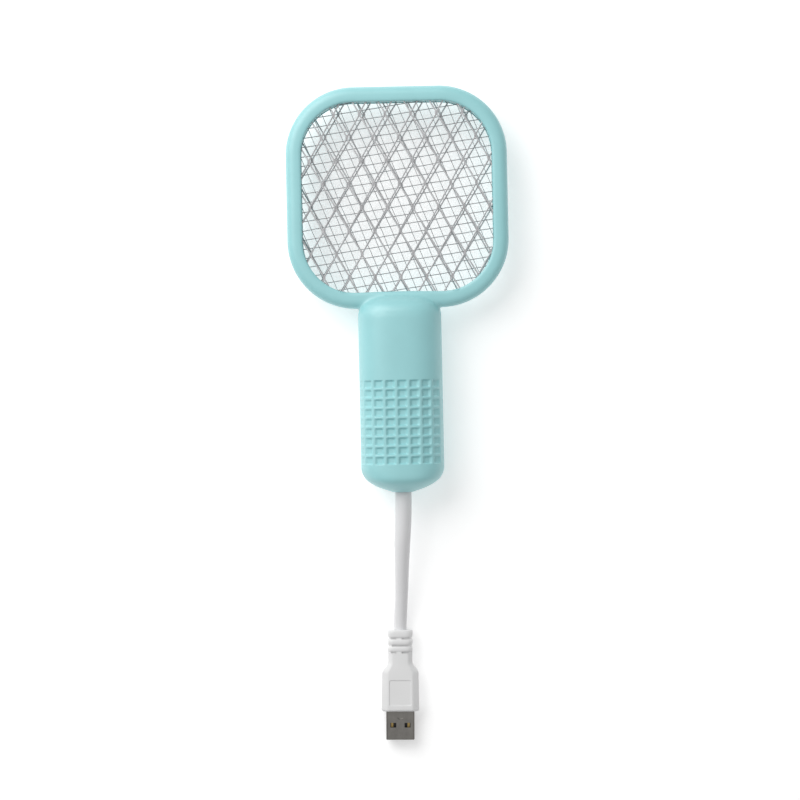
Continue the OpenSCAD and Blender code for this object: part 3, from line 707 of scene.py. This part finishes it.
def rail_outside(side):
    """The rail's outside from the seam to its inner edge: distance from the head's edge, height."""
    crown = 4.2
    points = [(SEAM, 0), (0, 0.2), (0, 1.1)]
    points += arc((crown, 1.9), (crown, RAIL_HALF - 1.9), 180, 90, 16, 2.3)
    points += arc((crown, 4.6), (RAIL_WIDTH - crown, RAIL_HALF - 4.6), 90, 0, 12, 2.8)[1:]
    return [(d, side * h) for d, h in points]


def head_path():
    """Points round the head's edge with their outward directions, closer together near the handle."""
    straight = HEAD_SIZE / 2 - HEAD_CORNER
    points = []
    corner_angles = np.linspace(0, 90, 61)[:-1]
    for right, up, turn in ((1, 1, 0), (-1, 1, 90), (-1, -1, 180), (1, -1, 270)):
        cx, cy = right * straight, up * straight
        for angle in np.radians(corner_angles + turn):
            direction = (math.cos(angle), math.sin(angle))
            place = (cx + HEAD_CORNER * direction[0], cy + HEAD_CORNER * direction[1])
            points.append((*place, *direction))
        end = math.radians(turn + 90)
        direction = np.round((math.cos(end), math.sin(end)), 9)
        step = 0.45 if turn == 180 else 0.9
        ahead = np.array([-direction[1], direction[0]])
        corner = np.array([cx, cy]) + HEAD_CORNER * direction
        for run in np.arange(0, 2 * straight, step):
            points.append((*(corner + ahead * run), *direction))
    return np.array(points)


def ring_solid(name, section, path):
    """Sweeps a section of (distance from the head's edge, height) round the head."""
    rows = [[(x - nx * d, y + HEAD_Y - ny * d, MID_Z + h) for d, h in section] for x, y, nx, ny in path]
    return lofted(name, rows, looped=True)


def band(name, outer, inner, low, high, path):
    """A ring of rectangular section, between two distances from the head's edge."""
    return ring_solid(name, [(outer, low), (inner, low), (inner, high), (outer, high)], path)


def rail_half_solid(front, path):
    side = 1 if front else -1
    outside = rail_outside(side)
    section = outside + [(RAIL_WIDTH, side * CHANNEL_HALF), (RAIL_WIDTH, 0)]
    return ring_solid("rail", section, path)


def head_edge_distance(x, y):
    """Distance inwards from the head's outer edge."""
    straight = HEAD_SIZE / 2 - HEAD_CORNER
    qx = np.abs(x) - straight
    qy = np.abs(y - HEAD_Y) - straight
    outside = np.hypot(np.maximum(qx, 0), np.maximum(qy, 0)) + np.minimum(np.maximum(qx, qy), 0)
    return HEAD_CORNER - outside


def rail_distance(points):
    """Distance outside the rail, from its section's outline."""
    d = head_edge_distance(points[:, 0], points[:, 1])
    h = points[:, 2] - MID_Z
    upper = rail_outside(1)[2:]
    outline = np.array(upper + [(RAIL_WIDTH, 0)] + [(a, -b) for a, b in upper[::-1]])
    nearest = np.full(len(points), 1e9)
    inside = np.ones(len(points), bool)
    for a, b in zip(outline, np.roll(outline, -1, axis=0)):
        edge = b - a
        span = edge @ edge
        if span < 1e-12:
            continue
        rel = np.stack([d, h], 1) - a
        t = np.clip(rel @ edge / span, 0, 1)
        gap = rel - t[:, None] * edge
        nearest = np.minimum(nearest, np.hypot(gap[:, 0], gap[:, 1]))
        inside &= edge[0] * rel[:, 1] - edge[1] * rel[:, 0] <= 1e-9
    return np.where(inside, -nearest, nearest)


def handle_level(points):
    wide, deep = handle_shares(points[:, 1])
    up = points[:, 2] - MID_Z
    u = np.abs(points[:, 0]) / (HANDLE_HALF_WIDTH * wide)
    v = np.abs(up) / (full_depth(up < 0) * deep)
    return (u ** SECTION_POWER + v ** SECTION_POWER) ** (1 / SECTION_POWER) - 1


def slope_of(level, points):
    """Numerical gradient of a level function."""
    step = 0.02
    return np.stack([(level(points + d) - level(points - d)) / (2 * step) for d in step * np.eye(3)], 1)


def handle_distance(points):
    slope = slope_of(handle_level, points)
    return handle_level(points) / np.maximum(np.linalg.norm(slope, axis=1), 1e-3)


def joined_distance(points):
    """Distance outside the handle and the rail, with the crease between them filled."""
    a = handle_distance(points)
    b = rail_distance(points)
    near = np.clip(1 - np.abs(a - b) / BLEND, 0, 1)
    return np.minimum(a, b) - near ** 2 * BLEND / 4


def fill_crease(piece):
    """Moves the points near the crease between handle and rail out to the filled surface."""
    mesh = piece.data
    points = np.empty(len(mesh.vertices) * 3)
    mesh.vertices.foreach_get("co", points)
    points = points.reshape(-1, 3)
    close = (points[:, 1] > -14) & (points[:, 1] < 2) & (np.abs(points[:, 0]) < 25)
    close &= np.abs(points[:, 2] - MID_Z) > 0.05
    index = np.nonzero(close)[0]
    a = handle_distance(points[index])
    b = rail_distance(points[index])
    crease = (np.abs(a - b) < BLEND) & (np.minimum(a, b) > -0.35) & (np.minimum(a, b) < 0.3)
    index = index[crease]
    moved = points[index]
    for _ in range(4):
        slope = slope_of(joined_distance, moved)
        size = np.maximum((slope ** 2).sum(1), 0.3)
        push = np.clip(joined_distance(moved), -0.25, 0.25)
        moved = moved - (push / size)[:, None] * slope
    points[index] = moved
    mesh.vertices.foreach_set("co", points.ravel())
    mesh.update()


# ---------- Shells ----------

def drill(piece, places, radius, low, high, steps=48):
    """Takes an upright bar out of the piece at each place."""
    for place in places:
        cut(piece, turned("bar", [(radius, low), (radius, high)], place, steps))


def end_bar(name, radius, low_y, high_y):
    """A round bar along Y on the cord's axis."""
    return turned(name, [(radius, low_y), (radius, high_y)], (0, MID_Z), 64, "Y")


def handle_cavity(front):
    """The space inside the shells, less the pillars, the boss at the tail and the scoop's own wall."""
    y = np.concatenate([HANDLE_END_Y + WALL + np.linspace(0, 3.2, 14) ** 2,
                        HANDLE_TOP_Y - WALL - np.linspace(3.0, 0, 14) ** 2])
    angles = np.linspace(0, 2 * math.pi, 73)[:-1]
    cavity = lofted("cavity", handle_grid(y, angles, WALL))
    drill(cavity, SCREW_PLACES, PILLAR_RADIUS, -10, 40)
    cut(cavity, end_bar("boss", BOSS_RADIUS, HANDLE_END_Y - 10, HANDLE_END_Y + 4.9))
    if front:
        drill(cavity, BOARD_SCREWS, BOARD_POST_RADIUS, BOARD_TOP_Z, 40)
    else:
        cut(cavity, block("floor", (-20, -100, -10), (20, 0, WALL)))
        reach = SCOOP_RADIUS + WALL
        outline = [(x, y + (BUTTON_Y if y >= 0 else BUTTON_Y - SCOOP_LENGTH))
                   for x, y in circle(reach, 64)]
        rows = [[(x, y, z) for x, y in outline] for z in (-1, SCOOP_Z + WALL)]
        cut(cavity, lofted("scoop_wall", rows))
    return cavity


def shell(front, path):
    piece = handle_half(front)
    add(piece, rail_half_solid(front, path))
    fill_crease(piece)
    cut(piece, handle_cavity(front))
    cut(piece, band("channel", RAIL_WALL, RAIL_WIDTH + 1, -CHANNEL_HALF, CHANNEL_HALF, path[::3]))
    cut(piece, block("passage", (-8, HEAD_LOW_Y - 1, MID_Z - CHANNEL_HALF),
                     (8, HEAD_LOW_Y + RAIL_WALL + 0.2, MID_Z + CHANNEL_HALF)))
    hole = RELIEF_RADIUS + 0.1
    mouth = [(hole + 0.8, HANDLE_END_Y - 1), (hole + 0.4, HANDLE_END_Y), (hole, HANDLE_END_Y + 0.4),
             (hole, HANDLE_END_Y + 5.9)]
    cut(piece, turned("mouth", mouth, (0, MID_Z), 64, "Y"))
    cut(piece, end_bar("groove", GROMMET_RADIUS + 0.1, HANDLE_END_Y + 2, HANDLE_END_Y + 4))
    if front:
        drill(piece, SCREW_PLACES, 1.33, MID_Z - 1, MID_Z + 7.5, 24)
        drill(piece, BOARD_SCREWS, 1.03, MID_Z, MID_Z + 7, 24)
    else:
        drill(piece, SCREW_PLACES, SCREW_WELL_RADIUS, -1, SCREW_SEAT_Z)
        drill(piece, SCREW_PLACES, 1.5, 0, MID_Z + 1, 24)
        rim = BUTTON_RADIUS + 0.1
        edge = [(rim + 0.8, SCOOP_Z - 0.6), (rim + 0.25, SCOOP_Z), (rim, SCOOP_Z + 0.3), (rim, 8)]
        cut(piece, turned("button_hole", edge, (0, BUTTON_Y)))
        rim = LED_RADIUS + 0.1
        edge = [(rim + 0.6, SCOOP_Z - 0.5), (rim + 0.1, SCOOP_Z), (rim, SCOOP_Z + 0.15), (rim, 8)]
        cut(piece, turned("led_hole", edge, (0, LED_Y), 32))
    return piece


def make_shells():
    path = head_path()
    for front, node in ((True, "front_shell"), (False, "back_shell")):
        finish_piece(shell(front, path), node + "_look", "mint_plastic", nodes=[node])


# ---------- Nets ----------

def level_rows(path, section, rolls=None):
    """Rings of a bar along a level path; section is (sideways, up), turned by rolls about the path."""
    path = np.asarray(path, float)
    steps = np.diff(path, axis=0)
    steps /= np.linalg.norm(steps, axis=1)[:, None]
    along = np.vstack([steps[:1], steps[:-1] + steps[1:], steps[-1:]])
    along /= np.linalg.norm(along, axis=1)[:, None]
    side = np.stack([along[:, 1], -along[:, 0], np.zeros(len(path))], 1)
    rows = []
    for i, place in enumerate(path):
        roll = 0 if rolls is None else rolls[i]
        cos, sin = math.cos(roll), math.sin(roll)
        rolled = [(a * cos - b * sin, a * sin + b * cos) for a, b in section]
        rows.append([place + side[i] * across + [0, 0, up] for across, up in rolled])
    return rows


def within_head(line, inset):
    """The stretches of a level polyline inside the head's outline moved in by inset."""
    pieces = 24
    fine = []
    for a, b in zip(line[:-1], line[1:]):
        fine += [a + (b - a) * t for t in np.linspace(0, 1, pieces, endpoint=False)]
    fine = np.array(fine + [line[-1]])
    room = head_edge_distance(fine[:, 0], fine[:, 1]) - inset
    runs, run = [], []
    for i, place in enumerate(fine):
        if i and (room[i] > 0) != (room[i - 1] > 0):
            edge = fine[i - 1] + (place - fine[i - 1]) * room[i - 1] / (room[i - 1] - room[i])
            run.append(edge)
            if room[i] <= 0:
                runs.append(run)
                run = []
        if room[i] > 0 and i % pieces == 0:
            run.append(place)
    if run:
        runs.append(run)
    return [np.array(r) for r in runs if len(r) > 1 and np.ptp(r, axis=0).max() > 0.5]


def flat_section(width, thickness, chamfer=0.1):
    a, b, c = width / 2, thickness / 2, chamfer
    return [(a, c - b), (a, b - c), (a - c, b), (c - a, b),
            (-a, b - c), (-a, c - b), (c - a, -b), (a - c, -b)]


def net_border(path, z, thickness, tab_x):
    """The flat border that the shells clamp, with the tab for its lead."""
    low, high = z - thickness / 2, z + thickness / 2
    border = band("border", *NET_BORDER, low - MID_Z, high - MID_Z, path)
    add(border, block("tab", (tab_x - 2, HEAD_LOW_Y - 5, low), (tab_x + 2, HEAD_LOW_Y + 2.8, high)))
    return border


def zigzag(side, x, z):
    """One strand of the expanded net: it leans to and fro, and runs upright at each bond."""
    reach = DIAMOND[0] / 4 - STRAND[0] / 2 + 0.02
    half = math.ceil(HEAD_SIZE / DIAMOND[1]) + 2
    line = []
    for j in range(-half, half + 1):
        away = side * (1 if j % 2 == 0 else -1) * reach
        middle = j * DIAMOND[1] / 2
        for end in (-1, -0.8, 0.8, 1):
            slack = 0.04 if abs(end) == 1 else 0
            line.append((x + away * (1 - slack), middle + end * (BOND_HALF + 0.15), z))
    return np.array(line)


def strand_rolls(line, lean):
    """Each leaning stretch is rolled a little, one way going up to the right and the other way back."""
    steps = np.diff(line, axis=0)
    leaning = np.abs(steps[:, 0]) > 0.3 * np.abs(steps[:, 1])
    slant = np.where(leaning, np.sign(steps[:, 0] * steps[:, 1]), 0)
    ahead = np.concatenate([slant, [0]])
    behind = np.concatenate([[0], slant])
    return np.radians(lean) * np.where(np.abs(ahead) > np.abs(behind), ahead, behind)


def expanded_net(path, z, thickness, phase, turn):
    columns = math.ceil(HEAD_SIZE / DIAMOND[0]) + 1
    net = net_border(path, z, thickness, -5)
    spin = Matrix.Rotation(math.radians(turn), 3, "Z")
    section = flat_section(*STRAND)
    for k in range(-columns, columns + 1):
        line = zigzag(1 if k % 2 == 0 else -1, k * DIAMOND[0] / 2 - DIAMOND[0] / 4, 0)
        line = np.array([spin @ Vector((p[0] + phase[0], p[1] + phase[1], 0)) for p in line])
        line += [0, HEAD_Y, z]
        for run in within_head(line, NET_BORDER[0] + 0.6):
            add(net, lofted("strand", level_rows(run, section, strand_rolls(run, STRAND_ROLL))))
    return net


def welded_net(path, z, thickness):
    """Round wires laid one way, with thinner ones leaning across behind them."""
    net = net_border(path, z, thickness, 5)
    draw = np.random.default_rng(7)
    count = math.ceil(HEAD_SIZE / 2 / MESH_PITCH * 1.2)
    for tilt, lift, radius in zip((MESH_TILT, 180 - MESH_LEAN), (0.09, -0.09), MESH_RADII):
        section = circle(radius, 10)
        spin = Matrix.Rotation(math.radians(tilt), 3, "Z")
        for k in range(-count, count + 1):
            places = np.arange(-HEAD_SIZE * 0.7, HEAD_SIZE * 0.7, 6)
            sway = draw.normal(0, 0.06, len(places))
            line = [spin @ Vector((x, k * MESH_PITCH + dy, 0)) for x, dy in zip(places, sway)]
            line = np.array(line) + [0, HEAD_Y, z + lift]
            for run in within_head(line, NET_BORDER[0] + 0.6):
                add(net, lofted("wire", level_rows(run, section)))
    return net


def make_nets():
    path = head_path()[::4]
    for node, slot, make, *how in (
            ("front_guard_net", "net_aluminium", expanded_net, FRONT_PHASE, 0),
            ("rear_guard_net", "net_aluminium", expanded_net, REAR_PHASE, REAR_TURN),
            ("centre_net", "net_steel", welded_net)):
        low, high = box_mm(node)
        net = make(path, (low[2] + high[2]) / 2, high[2] - low[2], *how)
        finish_piece(net, node + "_look", slot, nodes=[node])


# ---------- Button, spring and indicator ----------

def make_button():
    low, high = box_mm("push_button")
    tip, top = low[2], high[2]
    wide, under, over = high[0], 4.05, 5.25
    stem_radius = 2
    dish = [(0.02, tip + 0.4), (1.5, tip + 0.35), (2.8, tip + 0.2), (3.6, tip + 0.05)]
    rim = arc((BUTTON_RADIUS - 0.7, tip + 0.7), (0.7, 0.7), 270, 360, 6)
    body = [(BUTTON_RADIUS, under - 0.2), (BUTTON_RADIUS + 0.15, under)]
    flange = [(wide - 0.15, under), (wide, under + 0.15), (wide, over - 0.15), (wide - 0.15, over),
              (stem_radius + 0.3, over), (stem_radius, over + 0.3)]
    stem = [(stem_radius, top - 0.25), (stem_radius - 0.25, top), (0.02, top)]
    button = turned("button", dish + rim + body + flange + stem, (0, BUTTON_Y), 96)
    finish_piece(button, "push_button_look", "white_plastic", "button", ["push_button"])


def make_spring():
    """A coil that the plunger presses together against the switch's roof."""
    low, high = box_mm("switch_spring")
    wire = SPRING_WIRE
    turn = np.linspace(0, 2 * math.pi * SPRING_TURNS, 127)
    a, k = np.meshgrid(turn, np.arange(12) * math.pi / 6, indexing="ij")
    z = low[2] + wire + (high[2] - low[2] - 2 * wire) * a / a.max()
    reach = high[0] - wire + wire * np.cos(k)
    rows = np.stack([reach * np.cos(a), BUTTON_Y + reach * np.sin(a), z - wire * np.sin(k)], axis=-1)
    spring = finish_piece(lofted("spring", rows), "switch_spring_look", "screw_steel",
                          nodes=["switch_spring"])
    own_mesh(spring)


def make_indicator():
    low, high = box_mm("indicator_led")
    centre_z = low[2] + LED_RADIUS
    dome = [(max(0.02, r), z) for r, z in arc((0, centre_z), (LED_RADIUS, LED_RADIUS), 270, 360, 12)]
    flange = [(LED_RADIUS, 7.3), (LED_RADIUS + 0.4, 7.4), (LED_RADIUS + 0.4, 8.2),
              (LED_RADIUS + 0.3, 8.3), (0.02, 8.3)]
    lamp = turned("lamp", dome + flange, (0, LED_Y), 48)
    for x in (-0.6, 0.6):
        add(lamp, block("leg", (x - 0.2, LED_Y - 0.2, 8.2), (x + 0.2, LED_Y + 0.2, high[2])))
    finish_piece(lamp, "indicator_led_look", "led_resin", nodes=["indicator_led"])


# ---------- Cord and strain relief ----------

def make_cord():
    """The cord is one curve along its whole route, from the grommet to the plug."""
    route = smooth_route(CORD_ROUTE, 1)
    curve = bpy.data.curves.new("cord_look", "CURVE")
    curve.dimensions = "3D"
    curve.bevel_depth = CORD_DIAMETER / 2 * MM
    curve.bevel_resolution = 10
    curve.use_fill_caps = True
    spline = curve.splines.new("POLY")
    spline.points.add(len(route) - 1)
    for point, place in zip(spline.points, route):
        point.co = (*(place * MM), 1)
    spline.use_smooth = True
    curve.materials.append(MATERIALS["white_rubber"])
    cord = bpy.data.objects.new("cord_look", curve)
    bpy.context.scene.collection.objects.link(cord)
    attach(cord, "swatter")
    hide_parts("cord")
    return cord


def relief_radius(y):
    """Even for the first 14 mm outside the handle, then tapering down to the cord."""
    out = HANDLE_END_Y - y
    taper = smoothstep((out - 14) / 28)
    return RELIEF_RADIUS + (CORD_DIAMETER / 2 + 0.07 - RELIEF_RADIUS) * taper


def make_strain_relief():
    low, high = box_mm("strain_relief")
    route = smooth_route(CORD_ROUTE, 0.8)
    outside = route[(route[:, 1] < high[1] - 0.4) & (route[:, 1] > low[1])]
    relief = lofted("relief", tube_rows(outside, relief_radius(outside[:, 1]), 40))
    inner, outer, top = RELIEF_RADIUS + 0.15, GROMMET_RADIUS, high[1]
    grommet = [(inner, top), (outer - 0.3, top), (outer, top - 0.3), (outer, top - 1.5),
               (outer - 0.3, top - 1.8), (inner, top - 1.8)]
    add(relief, turned("grommet", grommet, (0, MID_Z), 48, "Y"))
    bore = np.full(len(route), CORD_DIAMETER / 2 + 0.01)
    cut(relief, lofted("bore", tube_rows(route, bore, 40)))
    return finish_piece(relief, "strain_relief_look", "white_rubber", nodes=["strain_relief"])


# ---------- Plug ----------

PLUG_FACE_Y = -34.5
COLLAR_BANDS = [(0, 3.2), (3.9, 6.2), (6.9, 9.1)]
# How far along the collar each slot lies, and where it starts and stops across it
COLLAR_SLOTS = [(3.55, (-3.9, -1.7)), (3.55, (0.65, 3.7)), (6.55, (-3.4, 3.5)),
                (9.45, (-3.9, -1.7)), (9.45, (0.65, 3.7))]
PANEL_SIZE = (9.52, 11.05)
PANEL_Y = -26.575
SHOULDER = (-13.4, -18.6)


def rounded_outline(corners, radius, steps=5):
    """A closed outline through the corners, each rounded by a curve that starts radius away from it."""
    corners = np.asarray(corners, float)
    points = []
    for before, corner, after in zip(np.roll(corners, 1, 0), corners, np.roll(corners, -1, 0)):
        into = (before - corner) / np.linalg.norm(before - corner)
        out = (after - corner) / np.linalg.norm(after - corner)
        a, b = corner + into * radius, corner + out * radius
        for t in np.linspace(0, 1, steps + 1):
            points.append((1 - t) ** 2 * a + 2 * t * (1 - t) * corner + t * t * b)
    return np.array(points)


def across_y(outline, y):
    """An outline of (x, z) points set across the Y axis."""
    return [(x, y, z) for x, z in outline]


def soft_rectangle(width, depth, radius):
    a, b = width / 2, depth / 2
    return rounded_outline([(-a, -b), (a, -b), (a, b), (-a, b)], radius)


def faceted_row(y, half_width, inset=0.0):
    """The plug's section at y: a flat front and back, with sloping facets down to the sides."""
    w = half_width - inset
    flat = 0.72 * half_width - 0.4 - inset / 2
    side = 2.3 - inset / 2
    depth = 4 - inset
    corners = [(-w, -side), (-flat, -depth), (flat, -depth), (w, -side),
               (w, side), (flat, depth), (-flat, depth), (-w, side)]
    return across_y(rounded_outline(corners, 0.55), y)


def plug_moulding():
    neck, body, face = 5.2, 7.8, 8.0
    start, stop = SHOULDER
    rows = [faceted_row(y, neck) for y in np.arange(-9.2, start, -0.6)]
    for y in np.linspace(start, stop, 16):
        grow = smoothstep((start - y) / (start - stop))
        rows.append(faceted_row(y, neck + (body - neck) * grow))
    rows.append(faceted_row(-26, (body + face) / 2))
    rounding = 1.1
    for angle in np.radians(np.linspace(0, 90, 8)):
        y = PLUG_FACE_Y + rounding * (1 - math.sin(angle))
        rows.append(faceted_row(y, face, rounding * (1 - math.cos(angle))))
    return lofted("moulding", rows)


def collar():
    """Three soft bands on the cord side, parted by shallow grooves."""
    rows = []
    for start, stop in COLLAR_BANDS:
        bulge = (stop - start) / 2
        for angle in np.radians(np.linspace(-90, 90, 9)):
            y = -(start + stop) / 2 - bulge * math.sin(angle)
            inset = 0.36 * (1 - math.cos(angle))
            rows.append(across_y(soft_rectangle(10.7 - 2 * inset, 8 - 2 * inset, 3.0), y))
    rows.append(across_y(soft_rectangle(9.8, 7.2, 3.0), -10.5))
    return lofted("collar", rows)


def sunk_panel(side):
    """A tapered block that presses the panel into the plug's front or back."""
    rows = []
    for grow, z in ((-0.5, 3.72), (0.2, 4.2)):
        outline = soft_rectangle(PANEL_SIZE[0] + grow, PANEL_SIZE[1] + grow, 0.8)
        rows.append([(x, y + PANEL_Y, side * z) for x, y in outline])
    return lofted("panel", rows)


def set_on_cord(piece):
    turn = Matrix.Rotation(math.radians(PLUG_TURN), 4, "Z")
    piece.data.transform(Matrix.Translation(PLUG_PLACE) @ turn)
    return piece


def make_plug_body():
    plug = plug_moulding()
    add(plug, collar())
    for side in (-1, 1):
        z = sorted((side * 2.75, side * 5))
        for y, (x0, x1) in COLLAR_SLOTS:
            cut(plug, block("slot", (x0, -y - 0.38, z[0]), (x1, -y + 0.38, z[1])))
        x = sorted((side * 3.9, side * 6))
        for y in (-3.55, -9.45):
            cut(plug, block("side_slot", (x[0], y - 0.35, -1.4), (x[1], y + 0.35, 1.4)))
        cut(plug, sunk_panel(side))
    radius = CORD_DIAMETER / 2 + 0.02
    cut(plug, turned("bore", [(radius, -3.9), (radius, 1)], (0, 0), 40, "Y"))
    low_y = PLUG_FACE_Y - 1
    mouth = [across_y(soft_rectangle(12.06, 4.56, 0.6), y) for y in (low_y, PLUG_FACE_Y + 6.5)]
    cut(plug, lofted("socket", mouth))
    return finish_piece(set_on_cord(plug), "plug_body_look", "white_plastic",
                        nodes=["plug_body"], sharp=32)


def make_usb_shell():
    """Folded sheet steel: round corners, two windows a side, a seam behind and a crimp in front."""
    end_y, root_y = PLUG_FACE_Y - 12, PLUG_FACE_Y + 6.4
    width, depth, sheet = 12, 4.5, 0.3
    outer = [(0.16, end_y), (0.03, end_y + 0.1), (0, end_y + 0.3), (0, root_y)]
    rows = [across_y(soft_rectangle(width - 2 * i, depth - 2 * i, 0.6), y) for i, y in outer]
    tube = lofted("usb", rows)
    inside = soft_rectangle(width - 2 * sheet, depth - 2 * sheet, 0.35)
    cut(tube, lofted("hollow", [across_y(inside, y) for y in (end_y - 1, root_y + 1)]))
    window = [(x, y + end_y + 6.2) for x, y in soft_rectangle(2.5, 2, 0.2)]
    for side in (-3, 3):
        cut(tube, lofted("window", [[(x + side, y, z) for x, y in window] for z in (-3, 3)]))
    cut(tube, block("seam", (-0.07, end_y - 1, -depth / 2 - 1), (0.07, root_y + 1, -depth / 2 + 0.14)))
    crimp = [(1.25 * math.cos(a), PLUG_FACE_Y - 2.4 + 0.9 * math.sin(a), depth / 2 - 0.03)
             for a in np.radians(np.linspace(195, 345, 15))]
    add(tube, lofted("crimp", level_rows(crimp, circle(0.16, 8))))
    return finish_piece(set_on_cord(tube), "usb_shell_look", "plug_steel", nodes=["usb_shell"])


def make_tail():
    cord = make_cord()
    pieces = [make_strain_relief(), make_plug_body(), make_usb_shell(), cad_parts["usb_tongue"],
              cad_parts["usb_contacts"]]


# ---------- Pieces that keep their own shape ----------

NODE_SLOTS = {
    "mint_plastic": "front_spacer rear_spacer",
    "screw_steel": "case_screws board_screws",
    "black_plastic": "switch_housing multiplier_diodes switching_transistor"
                     " charge_controller usb_tongue",
    "red_plastic": "switch_plunger",
    "board_laminate": "circuit_board",
    "ferrite": "transformer_core",
    "cream_plastic": "transformer_bobbin",
    "copper": "transformer_winding",
    "brown_epoxy": "storage_capacitor",
    "blue_epoxy": "multiplier_capacitors",
    "tan_ceramic": "bleed_resistor",
    "battery_foil": "battery_cell",
    "foam": "battery_pad",
    "lead_insulation": "centre_net_lead",
    "lead_insulation_dark": "battery_leads charge_leads guard_net_leads",
    "gold_contacts": "usb_contacts",
}


def paint_frame_nodes():
    for slot, nodes in NODE_SLOTS.items():
        for node in nodes.split():
            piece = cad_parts[node]
            piece.data.materials.clear()
            piece.data.materials.append(MATERIALS[slot])


# ---------- Everything ----------

MATERIALS = make_materials()
bpy.context.scene.view_settings.view_transform = "Standard"
make_camera()
make_lights()
make_floor()
make_tail()
make_shells()
make_nets()
make_button()
make_spring()
make_indicator()
paint_frame_nodes()
